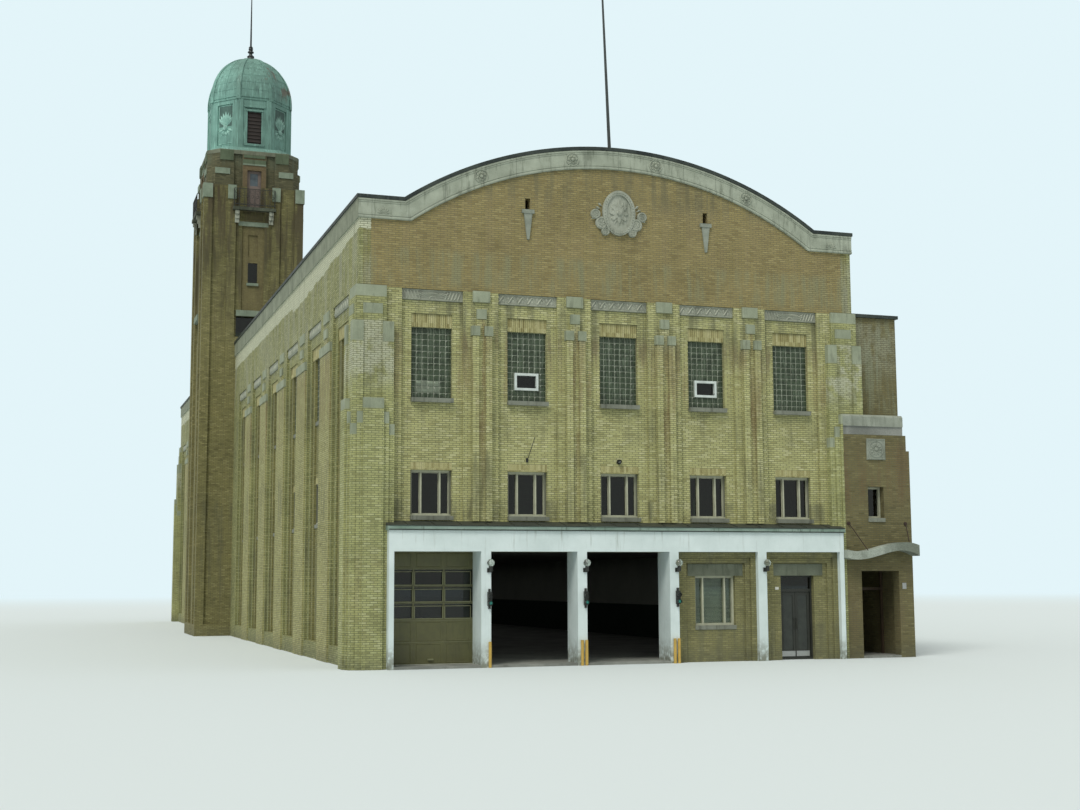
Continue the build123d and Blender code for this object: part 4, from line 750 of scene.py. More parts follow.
# Grey cast-stone caps finish every rib, shaft and corner pier, each bedded on the brick below.
# The small caps are ribbed on the face, and rain has washed their upper edges pale.
cap_stone = stonework("cap stone", (0.345, 0.38, 0.275), (0.235, 0.265, 0.185), (0.10, 0.11, 0.075), 0.45)
wear(cap_stone, "pilaster_caps", "corner_caps")
cap_top = 5.545
fine = [(x + s * 0.112, 0.025, 0.006, -0.1085, -0.1045, 5.425) for x in pier_places for s in (-1, 1)]
broad = [(x, 0.03, 0.008, -0.1145, -0.1095, 5.27) for x in (-half - 0.02, 0.48 - half)]
grooves = []
for middle, pitch, half_width, front, back, low in fine + broad:
    for i in range(-2, 3):
        x = middle + i * pitch
        grooves.append(((x - half_width, front, low), (x + half_width, back, cap_top)))
cap_ribbing = laid(cut_blocks(grooves, 0.0015), [Matrix(), shift(0, hall_depth) @ half_turn])
piece("cap_ribbing", [cap_ribbing], cap_stone)


# The upper windows are panels of pressed glass blocks in cement, seven across and twelve high.
# The glass has greyed and weeps pale streaks, and a patch in the first bay has newer, clearer blocks.
def simple(name, noise, colours, rough, bump=None, more=None):
    """A finish from one noise: its colours, its roughness where that is a range, and its bump."""
    made, place = finish(name)
    cloudy = clouds(place, *noise)
    stops = [(0.3 + 0.4 * i / (len(colours) - 1), colour) for i, colour in enumerate(colours)]
    if isinstance(rough, tuple):
        rough = fade(cloudy, *rough)
    height = (cloudy, *bump) if bump else ()
    return coated(made, ramp(cloudy, *stops), rough, *height, more=more)


cement = simple("glass block cement", (0.05, 4, (1, 1, 5)), ((0.16, 0.18, 0.13), (0.29, 0.32, 0.25)), 0.8)
wear(cement, "glass_blocks")
block_face = 0.1295
block_swell = 0.009
block_gap = 0.011
block_rows = 12
upper_low, upper_high = 4.35, head_low
hopper_half, hopper_low, hopper_high = 0.212, 4.545, 4.838
block_cell = (0.0991, 0.0991, 0.0979)


def block_glass(name, base, pale, limed):
    """Pressed glass: glossy, a little wavy, each block its own shade, with runs of lime."""
    made, place = finish(name)
    own = each_own(place, block_cell)
    tone = over(own, scaled(base, 0.75), scaled(base, 1.35))
    tone = streaked(tone, place, pale, limed, 0.022, 3, 12, 0.5, 0.68)
    return coated(made, tone, 0.16, clouds(place, 0.03, 2), 0.25, 0.003, {"Specular IOR Level": 0.35})


def pillow(x0, x1, z0, z1):
    """The face of one block: a flat rim that swells to a smooth cushion."""
    rings = []
    for share, up in ((0.0, 0.0), (0.04, 0.55), (0.14, 0.9), (0.3, 1.0)):
        a, b = share * (x1 - x0), share * (z1 - z0)
        corners = ((x0 + a, z0 + b), (x1 - a, z0 + b), (x1 - a, z1 - b), (x0 + a, z1 - b))
        rings.append([Vector((x, block_face - block_swell * up, z)) for x, z in corners])
    return skinned(rings, top=True)


def block_panel(width, columns, has_hopper=False, keep=None):
    """A panel of block faces, less those in the way of a hopper or not in keep."""
    parts = []
    across, upright = width / columns, (upper_high - upper_low) / block_rows
    for row in range(block_rows):
        z0 = upper_low + row * upright + block_gap / 2
        z1 = z0 + upright - block_gap
        for column in range(columns):
            if keep and not keep(row, column):
                continue
            x0 = column * across - width / 2 + block_gap / 2
            x1 = x0 + across - block_gap
            if has_hopper and z0 < hopper_high - 0.02 and z1 > hopper_low + 0.02:
                if x0 < 0:
                    x1 = min(x1, -hopper_half - block_gap)
                else:
                    x0 = max(x0, hopper_half + block_gap)
                if x1 - x0 < 0.015:
                    continue
            parts.append(pillow(x0, x1, z0, z1))
    return joined(parts)


def newer(row, column):
    """Whether a block of the first bay is one of the newer, clearer ones."""
    return row in (1, 2) and column in (1, 2, 3, 4)


panels = [
    laid(block_panel(window_width, 7), [front_bays[2], front_bays[4]] + rear_bays),
    laid(block_panel(window_width, 7, keep=lambda row, column: not newer(row, column)), [front_bays[0]]),
    laid(block_panel(window_width, 7, has_hopper=True), [front_bays[1], front_bays[3]]),
    laid(block_panel(side_window_width, 6), side_bays),
]
grey_glass = block_glass("greyed block glass", (0.034, 0.050, 0.028), (0.17, 0.21, 0.15), 0.5)
piece("block_faces", panels, grey_glass, smooth=True)
clear_glass = block_glass("newer block glass", (0.16, 0.19, 0.14), (0.26, 0.29, 0.24), 0.4)
newer_panel = laid(block_panel(window_width, 7, keep=newer), [front_bays[0]])
piece("newer_block_faces", [newer_panel], clear_glass, smooth=True)


# Window frames, doors and metalwork are brushed oil paint over steel or timber: slightly uneven,
# dulled and chalky, with dirt in the runs. Hoppers are white and the fixed frames a pale beige.
def painted(name, colour, rough, dirt, chips=(0.12, 0.10, 0.07), chipped=0.0, metal=0.0):
    """Brush-painted metal or timber with dulled patches, dirty runs and a few chips."""
    made, place = finish(name)
    broad = clouds(place, 0.12, 4)
    tone = over(fade(broad, 0.3, 0.7), scaled(colour, 0.82), colour)
    tone = streaked(tone, place, scaled(colour, 0.4), dirt, 0.035, 4, 7, 0.52, 0.76)
    tone = streaked(tone, place, chips, chipped, 0.018, 4, 1, 0.66, 0.69)
    dulled = fade(broad, 0.2, 0.8, rough - 0.08, rough + 0.12)
    return coated(made, tone, dulled, clouds(place, 0.006, 2, (1, 1, 6)), 0.2, 0.0015, {"Metallic": metal})


wear(painted("white hopper paint", (0.62, 0.68, 0.65), 0.4, 0.2), "hopper_frames")
beige = painted("pale cream frame paint", (0.44, 0.45, 0.33), 0.5, 0.3, chipped=0.3)
wear(beige, "window_frames")
fresh, place = under_change(beige)
axes = split(place)
outer_rail = fade(maths("PINGPONG", axes[0], bay_pitch / 2), 0.312, 0.318)
upright = times(outer_rail, fade(axes[2], 2.45, 2.47), 0.8)
feed(shader_of(beige), {"Base Color": over(upright, fresh, (0.06, 0.065, 0.045))})

window_pane, place = finish("window glass")
axes = split(place)
# Away from the office window the glass is tinted near black: painted shade of the dark rooms behind it. At
# the office it stays pale so the blinds show.
at_office = times(
    maths("GREATER_THAN", axes[0], 1.0), maths("LESS_THAN", axes[0], 2.5), maths("LESS_THAN", axes[2], 1.6))
tint = over(at_office, (0.08, 0.105, 0.06), (0.62, 0.70, 0.58))
film = fade(clouds(place, 0.2, 4), 0.4, 0.8, 0.01, 0.05)
clear = {"Transmission Weight": 1.0, "IOR": 1.48, "Specular IOR Level": 0.08}
coated(window_pane, tint, film, clouds(place, 0.4, 1), 0.02, 0.004, clear)
wear(window_pane, "window_glass")

sill_stone = stonework("sill stone", (0.235, 0.25, 0.205), (0.15, 0.16, 0.125), (0.06, 0.065, 0.045), 0.6)
wear(sill_stone, "window_sills")

frame_rail = 0.035
half_mullion = 0.014
bead = 0.010
bead_depth = 0.012


def border(x0, x1, z0, z1, front, back, wide, inset):
    """Four blocks round an opening, of which the level ones stop an inset short of its sides."""
    spans = ((x0, x0 + wide, z0, z1), (x1 - wide, x1, z0, z1))
    spans += ((x0 + inset, x1 - inset, z0, z0 + wide), (x0 + inset, x1 - inset, z1 - wide, z1))
    return [((a, front, c), (b, back, d)) for a, b, c, d in spans]


def light_beads(width, low, high, face, share):
    """Putty beads round the three lights of a window, with mullions share from its middle."""
    edges = (frame_rail - width / 2, -share - half_mullion, half_mullion - share, share - half_mullion)
    edges += (share + half_mullion, width / 2 - frame_rail)
    bars = []
    for x0, x1 in zip(edges[::2], edges[1::2]):
        bars += border(x0, x1, low, high, face, face + bead_depth, bead, bead)
    return cut_blocks(bars, 0.003)


low_foot = 2.43
low_light, low_light_top = low_foot + frame_rail, low_head - frame_rail
bead_face = 0.167
office, office_width = bays[3], 0.75
office_light = (0.61 + frame_rail, 1.445 - frame_rail)
beads = [
    laid(light_beads(window_width, low_light, low_light_top, bead_face, 0.16), front_bays + rear_bays),
    laid(light_beads(side_window_width, low_light, low_light_top, bead_face, 0.129), side_bays),
    moved(light_beads(office_width, *office_light, -0.023, 0.205), office),
]
piece("window_beads", beads, beige)


def flat(a, b):
    """A rectangular section, from half its width and half its height."""
    return [(-a, -b), (a, -b), (a, b), (-a, b)]


def bar(start, end, across, up, section):
    """A straight bar of a section from one place to another."""
    return strip([(Vector(place), across, up) for place in (start, end)], section)


stays = []
stay_place = 0.168
for x in [bays[i] + s * stay_place for i in (1, 3) for s in (-1, 1)]:
    stays.append(bar((x, 0.098, 4.62), (x, 0.178, 4.56), rightward, skyward, flat(0.004, 0.004)))
iron = painted("black iron paint", (0.030, 0.034, 0.030), 0.45, 0.2, (0.16, 0.07, 0.03), 0.7, 0.3)
piece("hopper_stays", stays, iron)


# The portico is plastered brick under many coats of white paint: square piers and a deep plain beam.
# Rain has drawn grey runs down it, and the feet of the piers are splashed and scuffed.
render_coat, place = finish("painted white render")
up = split(place)[2]
tone = ramp(clouds(place, 0.5, 5), (0.3, (0.56, 0.65, 0.64)), (0.65, (0.67, 0.76, 0.755)))
under_edge = fade(up, 1.75, 2.19, 0.25, 0.75)
tone = streaked(tone, place, (0.27, 0.31, 0.27), under_edge, 0.06, 5, 14, 0.55, 0.75)
splash = times(fade(up, 0.0, 0.5, 1.0, 0.0), fade(clouds(place, 0.08, 5), 0.3, 0.6))
tone = over(splash, tone, (0.20, 0.215, 0.17))
tone = streaked(tone, place, (0.33, 0.36, 0.32), 0.5, 0.05, 5, 1, 0.68, 0.71)
coated(render_coat, tone, 0.6, clouds(place, 0.03, 4))
wear(render_coat, "portico_piers", "portico_beam")

metal_roof, place = finish("portico roof metal")
cloudy = clouds(place, 0.18, 5, (3, 1, 1))
tone = ramp(cloudy, (0.35, (0.17, 0.25, 0.20)), (0.65, (0.27, 0.36, 0.31)))
ragged = maths("ADD", split(place)[2], times(cloudy, 0.05))
tone = over(fade(ragged, 2.272, 2.292), tone, (0.040, 0.046, 0.034))
tone = streaked(tone, place, (0.07, 0.09, 0.075), 0.6, 0.05, 4, 6, 0.55, 0.7)
coated(metal_roof, tone, 0.6, clouds(place, 0.09, 3), 0.3, 0.005, {"Metallic": 0.2})
wear(metal_roof, "portico_roof")

seam_section = [(-0.007, -0.002), (-0.004, 0.014), (0.004, 0.014), (0.007, -0.002)]
roof_seams = []
seam_start, seam_pitch = -3.78, 0.445
for x in [seam_start + i * seam_pitch for i in range(18)]:
    roof_seams.append(bar((x, -0.322, 2.268), (x, -0.004, 2.336), rightward, skyward, seam_section))
piece("portico_roof_seams", roof_seams, metal_roof)
drips = [((-4.08, -0.333, low), (4.08, -0.322, high)) for low, high in ((2.184, 2.202), (2.252, 2.262))]
piece("portico_roof_drip", [cut_blocks(drips, 0.003)], lead)


# The first bay is shut by a sectional overhead door of olive-brown painted panels on hidden hinges.
# Three rows are glazed, two at its foot and one at its head are solid, and a strip lies under its seal.
def rim(x0, x1, z0, z1, width, height):
    """Four ridges round a panel."""
    corners = ((x0, z0), (x1, z0), (x1, z1), (x0, z1))
    return joined([ridge(a, b, width, height) for a, b in zip(corners, corners[1:] + corners[:1])])


olive = painted("olive door paint", (0.100, 0.100, 0.038), 0.45, 0.35)
wear(olive, "overhead_door")
door_left, door_right, door_face = -3.99, -2.5575, 0.2
column_start, column_pitch, column_gap = -4.0725, 0.5057, 0.028
cuts = [column_start + i * column_pitch for i in (1, 2)]
columns = (
    (door_left + 0.03, cuts[0]),
    (cuts[0] + column_gap, cuts[1]),
    (cuts[1] + column_gap, door_right - 0.03),
)
rims = []
for low, high in ((0.075, 0.37), (0.425, 0.72), (1.605, 1.815)):
    rims += [rim(x0 + 0.035, x1 - 0.035, low, high, 0.016, 0.005) for x0, x1 in columns]
piece("overhead_door_panels", [moved(joined(rims), y=door_face)], olive)
rails = []
for z in (0.395, 0.741, 1.011, 1.281, 1.566):
    rails.append(((door_left, door_face - 0.005, z), (door_right, door_face + 0.001, z + 0.007)))
for low, high in ((1.038, 1.253), (0.769, 0.983), (1.308, 1.537)):
    for x0, x1 in columns:
        rails += border(x0, x1, low, high, door_face - 0.003, door_face + 0.012, 0.012, 0.0)
rails.append(((-3.32, door_face - 0.028, 0.11), (-3.22, door_face + 0.001, 0.135)))
worn_olive = painted("worn door bar paint", (0.185, 0.19, 0.10), 0.5, 0.3)
piece("overhead_door_bars", [cut_blocks(rails, 0.002)], worn_olive)
seal = cut_blocks([((door_left, 0.165, 0.0395), (door_right, 0.199, 0.052))], 0.004)
piece("door_threshold", [seal], painted("threshold strip", (0.36, 0.37, 0.31), 0.7, 0.5))


# The two right-hand bays are bricked up in a darker buff brick with a raised border.
# The office window has a stone lintel in two blocks and slatted blinds behind its glass.
infill_tones = ((0.155, 0.148, 0.062), (0.205, 0.195, 0.082), (0.265, 0.25, 0.115))
# The lower stain is dirt at the foot. The upper one, from 1.5 m up towards the portico beam, is painted shade
# under the beam.
infill_dirt_and_shade = ((0.0, 0.7, grime_and_shade, 0.5), (1.5, 2.2, grime_and_shade, 0.45))
infill_brick = brickwork("infill brick", infill_tones, (0.13, 0.13, 0.07), infill_dirt_and_shade, soot=0.3)
wear(infill_brick, "office_infill", "entry_wall_sides", "entry_wall_head")
in_shade = (2, 2.0, 1.9, (0.42, 0.44, 0.38))
dressed = stonework(
    "dressed stone", (0.33, 0.36, 0.30), (0.19, 0.21, 0.17), (0.10, 0.11, 0.08), 0.5, limit=in_shade)
wear(dressed, "dressed_stones")
lintel_cuts = [((x - 0.002, -0.1552, 1.447), (x + 0.002, -0.15, 1.648)) for x in (1.65, 3.225)]
piece("lintel_joints", [cut_blocks(lintel_cuts, 0.0005)], iron)

blind = simple("pale blind slats", (0.12, 3), ((0.50, 0.53, 0.42), (0.64, 0.67, 0.55)), (0.2, 0.8, 0.4, 0.6))
slat = [(-0.011, -0.006), (0.0, 0.001), (0.011, 0.007), (0.011, 0.0085), (0.0, 0.0025), (-0.011, -0.0045)]
blinds = []
slat_foot, slat_pitch, slat_half = 0.63, 0.0222, 0.36
for z in [slat_foot + i * slat_pitch for i in range(36)]:
    blinds.append(bar((office - slat_half, 0.012, z), (office + slat_half, 0.012, z), inward, skyward, slat))
blinds.append(cut_blocks([((office - 0.365, -0.002, 1.418), (office + 0.365, 0.026, 1.445))], 0.003))
tapes = [((office + x - 0.001, -0.001, 0.62), (office + x + 0.001, 0.0005, 1.42)) for x in (-0.25, 0.0, 0.25)]
blinds.append(cut_blocks(tapes, 0.0004))
piece("office_blinds", blinds, blind)


# The entrance has a dark metal frame with a transom light and a pair of glazed leaves.
# Each leaf turns on pins at its outer edge and has a pull handle and a steel kick plate.
dark = painted("dark door paint", (0.024, 0.027, 0.021), 0.55, 0.3, (0.12, 0.12, 0.10), 0.2)
wear(dark, "entry_frame", "entry_leaf_left", "entry_leaf_right")
brushed = ((0.33, 0.34, 0.33), (0.5, 0.51, 0.5))
steel = simple(
    "brushed steel", (0.02, 3, (6, 1, 0.08)), brushed, (0.2, 0.8, 0.3, 0.5), more={"Metallic": 1.0})
smoked = ((0.012, 0.015, 0.011), (0.03, 0.036, 0.028))
door_pane = simple("tinted door glass", (0.15, 4), smoked, (0.3, 0.7, 0.06, 0.2))
wear(door_pane, "entry_glass_left", "entry_glass_right")
leaves = (("left", 2.956, 3.214, "entry_door_left"), ("right", 3.236, 3.494, "entry_door_right"))
for hand, x0, x1, body in leaves:
    plates = [((x0, front, 0.054), (x1, front + 0.0017, 0.146)) for front in (-0.0385, -0.0132)]
    piece("kick_plates_" + hand, [cut_blocks(plates, 0.0006)], steel, body)
    beading = border(x0 + 0.028, x1 - 0.028, 0.150, 1.122, -0.0385, -0.0365, 0.010, 0.006)
    piece("leaf_beads_" + hand, [cut_blocks(beading, 0.0008)], dark, body)

paper = simple("white enamel plate", (0.03, 4), ((0.5, 0.51, 0.46), (0.66, 0.67, 0.62)), 0.8)
sheet = cut_blocks([((2.79, -0.1455, 1.205), (2.86, -0.1395, 1.25))], 0.0006)
piece("blank_plates", [sheet], paper)


# The entrance wing is a narrow block of grey-brown brick against the right-hand corner.
# It has a weathered stone band, a small carved block, one window and a deep open porch.
wing_tones = ((0.105, 0.091, 0.036), (0.145, 0.126, 0.052), (0.19, 0.168, 0.075))
wing_stains = (
    (3.9, 6.3, (0.235, 0.255, 0.165), 0.8),
    (2.5, 3.95, (0.155, 0.10, 0.045), 0.65),
    (0.0, 1.9, (0.15, 0.115, 0.055), 0.5),
)
peeled = (4.9, 6.0, (0.36, 0.37, 0.28), 0.35)
wing_brick = brickwork("wing brick", wing_tones, (0.12, 0.115, 0.065), wing_stains, soot=0.3, bloom=peeled)
wear(wing_brick, "wing_front_walls", "wing_side_walls", "wing_rear_walls")
wear(cast("rough canopy concrete", (0.43, 0.475, 0.41), (0.18, 0.205, 0.165), 0.02, 0.9), "wing_canopy")
flaky = ((0.018, 0.014, 0.011), (0.035, 0.022, 0.015), (0.08, 0.042, 0.025))
wear(simple("rusted iron", (0.02, 5), flaky, 0.85, (0.5, 0.002)), "canopy_stays")
grained = ((0.03, 0.02, 0.013), (0.075, 0.05, 0.03))
wear(simple("varnished timber", (0.02, 4, (1, 1, 14)), grained, 0.5, (0.3, 0.002)), "wing_door_screen")

carving = [petals(12, 0.03, 0.13, 0.026, 0.014), petals(12, 0.03, 0.09, 0.016, 0.018, math.pi / 12)]
carving += [boss(0.036, 0.022), ring(0.145, 0.016, 0.01), rim(-0.175, 0.175, -0.175, 0.175, 0.016, 0.01)]
tuft = petals(3, 0.0, 0.045, 0.012, 0.008, math.pi / 4)
carving += [moved(tuft, x, 0, z) for x in (-0.145, 0.145) for z in (-0.145, 0.145)]
piece("wing_carving", [moved(joined(carving), 4.85, -0.1905, 3.69)], dressed)
porch_plate = cut_blocks([((5.31, -0.183, 1.20), (5.39, -0.1745, 1.31))], 0.002)
piece("porch_plate", [porch_plate], steel)
glazing = border(4.69, 5.0, 2.46, 3.015, -0.02, -0.005, 0.01, 0.01)
piece("wing_window_bars", [cut_blocks(glazing, 0.002)], beige)


# The hose tower is a square shaft of brown brick, yellower towards its foot, with shallow grooves.
# Its stepped head, corner caps, lintels and balconies are finished in pale stone.
tower_tones = ((0.145, 0.132, 0.05), (0.22, 0.20, 0.078), (0.30, 0.275, 0.12))
tower_stains = (
    (8.4, 13.6, (0.050, 0.044, 0.020), 1.0),
    (9.8, 12.4, (0.085, 0.045, 0.026), 0.45),
    (7.6, 11.6, (0.10, 0.085, 0.038), 0.75),
    (0.2, 4.0, grime_and_shade, 0.4),
)
sooty = (2, 8.2, 10.4, (0.78, 0.78, 0.74))
tower_brick = brickwork("tower brick", tower_tones, (0.10, 0.10, 0.05), tower_stains, 0.5, 0.4, limit=sooty)
wear(tower_brick, "tower_cross_walls", "tower_side_walls")
tower_x, tower_y = (tower_left + tower_right) / 2, (tower_front + tower_back) / 2


def middle_panel(made, width, low, high, colour, amount):
    """Brick of another colour up the middle of each face of the tower."""
    before, place = under_change(made)
    axes = split(place)
    away = [maths("ABSOLUTE", maths("SUBTRACT", axes[i], c)) for i, c in ((0, tower_x), (1, tower_y))]
    inside = times(
        fade(maths("MINIMUM", *away), width, width - 0.01), fade(axes[2], low, low + 0.3),
        fade(axes[2], high - 0.02, high, amount, 0.0))
    relaid = over(fade(clouds(place, 0.05, 5), 0.3, 0.7), scaled(colour, 0.7), colour)
    feed(shader_of(made), {"Base Color": over(inside, before, relaid)})


middle_panel(tower_brick, 0.30, 8.3, 11.0, (0.185, 0.155, 0.068), 0.7)
head_tones = ((0.06, 0.058, 0.028), (0.10, 0.095, 0.045), (0.16, 0.15, 0.08))
head_stains = ((12.35, 13.1, (0.12, 0.14, 0.085), 0.85),)
head_brick = brickwork("tower head brick", head_tones, (0.09, 0.09, 0.055), head_stains, 0.4, 0.4)
wear(head_brick, "tower_head")
middle_panel(head_brick, 0.315, 11.2, 12.9, (0.17, 0.12, 0.06), 0.8)
green_top = (2, 12.52, 12.56, (0.42, 0.46, 0.36))
tower_stone = stonework(
    "tower stone", (0.27, 0.325, 0.245), (0.17, 0.215, 0.155), (0.09, 0.10, 0.065), 0.4, limit=green_top)
wear(tower_stone, "tower_caps")
dark_slab = (2, 11.195, 11.20, (0.22, 0.24, 0.20))
balcony_stone = stonework(
    "balcony stone", (0.42, 0.44, 0.36), (0.16, 0.17, 0.125), (0.045, 0.048, 0.034), 0.7, limit=dark_slab)
wear(balcony_stone, "balcony_slabs")
wear(iron, "balcony_railings")

tower_half = 1.32
tower_turns = [shift(tower_x, tower_y) @ spun(math.pi / 2 * i) for i in range(4)]
head_inset = 0.105
head_face = head_inset - tower_half
stones = [
    ((-0.31, head_face - 0.018, 12.50), (-0.002, head_face + 0.01, 12.66)),
    ((0.002, head_face - 0.018, 12.50), (0.31, head_face + 0.01, 12.66)),
    ((-0.29, head_face - 0.026, 12.70), (0.29, head_face + 0.01, 12.78)),
    ((-0.40, 0.065 - tower_half, 10.82), (0.40, 0.12 - tower_half, 10.94)),
]
piece("tower_lintels", [laid(cut_blocks(stones, 0.006), tower_turns)], tower_stone)

course_stone = stonework(
    "tower course stone", (0.19, 0.205, 0.145), (0.11, 0.12, 0.08), (0.06, 0.06, 0.04), 0.5, 0.41)
course_out, chamfer = 0.008, 0.30
course_reach = tower_half - head_inset + course_out
corner = tower_half - head_inset - chamfer + course_out * math.tan(math.pi / 8)
outline = [spun(math.pi / 2 * i) @ Vector((s * corner, -course_reach, 0)) for i in range(4) for s in (-1, 1)]
profile = ((12.79, 0.99), (12.79, 1.0), (12.891, 1.0), (12.903, 0.99), (12.903, 0.9))
rings = [[p * share + Vector((tower_x, tower_y, z)) for p in outline] for z, share in profile]
piece("tower_head_courses", [skinned(rings)], course_stone)


# The balcony doors are framed planks with one small pane, painted brown over an older mauve.
# Rails of flat and square iron bars fence the balconies, with a row of rings between them.
door_paint = painted("balcony door paint", (0.175, 0.135, 0.115), 0.6, 0.6, (0.25, 0.2, 0.17), 0.4)
wear(door_paint, "balcony_doors")
leaf_face = 0.165 - tower_half
boards = []
for x in [-0.137 + i * 0.055 for i in range(5)]:
    boards.append(((x + 0.001, leaf_face - 0.004, 11.40), (x + 0.054, leaf_face + 0.002, 11.86)))
door_frames = (
    (-0.187, -0.137, 11.30, 12.36), (0.137, 0.187, 11.30, 12.36), (-0.137, 0.137, 12.29, 12.36),
    (-0.137, -0.105, 11.95, 12.29), (0.105, 0.137, 11.95, 12.29),
    (-0.137, 0.137, 11.86, 11.95), (-0.137, 0.137, 11.30, 11.40),
)
for x0, x1, z0, z1 in door_frames:
    boards.append(((x0, leaf_face - 0.010, z0), (x1, leaf_face + 0.002, z1)))
piece("balcony_door_boards", [laid(cut_blocks(boards, 0.003), tower_turns)], door_paint)
cold = ((0.045, 0.06, 0.07), (0.10, 0.13, 0.145))
cold_glass = simple("blue-grey pane", (0.12, 3), cold, (0.3, 0.7, 0.05, 0.2))
panes = cut_blocks([((-0.103, leaf_face - 0.003, 11.952), (0.103, leaf_face + 0.002, 12.288))], 0.001)
piece("balcony_door_panes", [laid(panes, tower_turns)], cold_glass)

rail_face = -tower_half - 0.103


def iron_ring(x, z, radius, start=0.0, sweep=2 * math.pi, steps=14):
    """A ring or scroll bent from flat bar."""
    run = []
    for i in range(steps + 1):
        out = spoke(start + sweep * i / steps)
        grow = radius * (1 - 0.45 * i / steps) if sweep > 2 * math.pi else radius
        run.append((Vector((x, rail_face, z)) + out * grow, inward, out))
    return strip(run, [(b, a) for a, b in flat(0.003, 0.004)])


bar_pitch = 0.1345
scrolls = []
for x in [(i - 3.5) * bar_pitch for i in range(8)]:
    scrolls.append(iron_ring(x, 11.71, 0.048))
    scrolls.append(iron_ring(x, 11.585, 0.046, 0.0, 3.2 * math.pi, 20))
    scrolls.append(iron_ring(x, 11.43, 0.05, math.pi / 2, math.pi))
piece("balcony_scrolls", [laid(joined(scrolls), tower_turns)], iron)


# Drum, dome and skirt are sheet copper on boards, gone green all over. Sheets lap at level seams,
# flat ribs cover the corners, and the louvres stand in stepped frames of the same copper.
def sheet_copper(name, greens):
    """Green copper sheet: pale and dark runs, brown patches high on the right, painted light on the left, and
    waves.
    """
    made, place = finish(name)
    axes = split(place)
    low, mid, high = greens
    broad = clouds(place, 0.5, 5)
    tone = ramp(broad, (0.25, low), (0.5, mid), (0.75, high))
    tone = streaked(tone, place, scaled(high, 1.45), 0.6, 0.045, 5, 12, 0.5, 0.72)
    tone = streaked(tone, place, scaled(low, 0.55), 0.7, 0.07, 5, 8, 0.54, 0.74)
    from_middle = maths("SUBTRACT", axes[0], tower_x)
    browned = fade(maths("ADD", clouds(place, 0.3, 6, (1, 1, 2.5)), times(from_middle, 0.22)), 0.66, 0.76)
    tone = over(times(browned, fade(axes[2], 14.4, 14.8, 0.0, 0.8)), tone, (0.125, 0.095, 0.07))
    # Lighter towards the left: painted light on the side towards the sun.
    tone = over(fade(from_middle, -0.35, -0.75), tone, (1.4, 1.42, 1.45), "MULTIPLY")
    bloom = clouds(place, 0.012, 3)
    tone = flecked(tone, 0.3, bloom, (0.3, (0.65, 0.68, 0.66)), (0.65, (1.12, 1.12, 1.1)))
    waves = maths("ADD", clouds(place, 0.22, 2), times(bloom, 0.15))
    return coated(made, tone, fade(broad, 0.3, 0.7, 0.6, 0.8), waves, 0.5, 0.012, {"Metallic": 0.1})


copper = sheet_copper("verdigris copper", ((0.08, 0.16, 0.135), (0.13, 0.25, 0.21), (0.18, 0.33, 0.28)))
wear(copper, "drum", "dome")
wear(painted("brown louvre", (0.030, 0.020, 0.016), 0.6, 0.4, (0.07, 0.06, 0.05), 0.3), "drum_louvres")

drum_face = -1.065
frames = [
    ((-0.245, drum_face - 0.004, 13.13), (-0.19, drum_face + 0.03, 14.075)),
    ((0.19, drum_face - 0.004, 13.13), (0.245, drum_face + 0.03, 14.075)),
    ((-0.245, drum_face - 0.016, 14.052), (0.245, drum_face + 0.03, 14.105)),
    ((-0.29, drum_face - 0.026, 14.155), (0.29, drum_face + 0.03, 14.225)),
    ((-0.27, drum_face - 0.022, 13.085), (0.27, drum_face + 0.03, 13.148)),
]
slant_turns = [turn @ spun(math.pi / 4) for turn in tower_turns]
palm = [petals(1, 0.03, 0.50 - 0.035 * abs(i), 0.055, 0.045, i * 0.22) for i in range(-3, 4)]
palm += [petals(1, 0.04, 0.26, 0.05, 0.04, math.pi + i * 0.55) for i in range(-2, 3)]
palm = [moved(joined(palm + [boss(0.075, 0.05)]), z=13.62), rim(-0.225, 0.225, 13.18, 14.24, 0.03, 0.014)]
palms = laid(joined(palm), [turn @ shift(0, drum_face + 0.0345) for turn in slant_turns])
# The leaves are a lighter copy of the copper: painted light on the raised relief.
copper_painted_light = sheet_copper("pale copper leaves", ((0.13, 0.24, 0.20), (0.21, 0.36, 0.31), (0.29, 0.46, 0.40)))
piece("drum_palms", [palms], copper_painted_light)
# Dark copper plates fill the heads of the panels behind the leaves: painted shade in the hollows.
hollows = cut_blocks([((-0.222, drum_face + 0.030, 13.66), (0.222, drum_face + 0.0365, 14.235))], 0.001)
shaded_greens = ((0.03, 0.06, 0.05), (0.05, 0.095, 0.08), (0.08, 0.14, 0.12))
copper_painted_shade = sheet_copper("dark copper hollows", shaded_greens)
piece("drum_hollows", [laid(hollows, slant_turns)], copper_painted_shade)

dome_reach, dome_upright, dome_rise = 1.077, 0.105, 1.37
dome_foot = Vector((tower_x, tower_y, 14.375))
to_corner = 1 / math.cos(math.pi / 8)


def around_dome(angle):
    """The way out from the dome's axis at an angle round it."""
    return Vector((math.sin(angle), -math.cos(angle), 0))


def meridian(angle, stretch, width, thick):
    """A flat rib up the dome at an angle round it, with the dome's reach stretched out to it."""
    outward = around_dome(angle)
    along = around_dome(angle + math.pi / 2)
    run = [(dome_foot + outward * (dome_reach * stretch + 0.001), along, outward)]
    steps = 26
    for i in range(steps + 1):
        turn = math.pi / 2 * i / steps * 0.965
        out = outward * (dome_reach * math.cos(turn) * stretch + 0.001)
        height = skyward * (dome_upright + dome_rise * math.sin(turn))
        up = (outward * dome_rise * math.cos(turn) + skyward * dome_reach * math.sin(turn)).normalized()
        run.append((dome_foot + out + height, along, up))
    foot, head = width / 2, width * 0.42
    return strip(run, [(-foot, -0.012), (foot, -0.012), (head, thick), (-head, thick)])


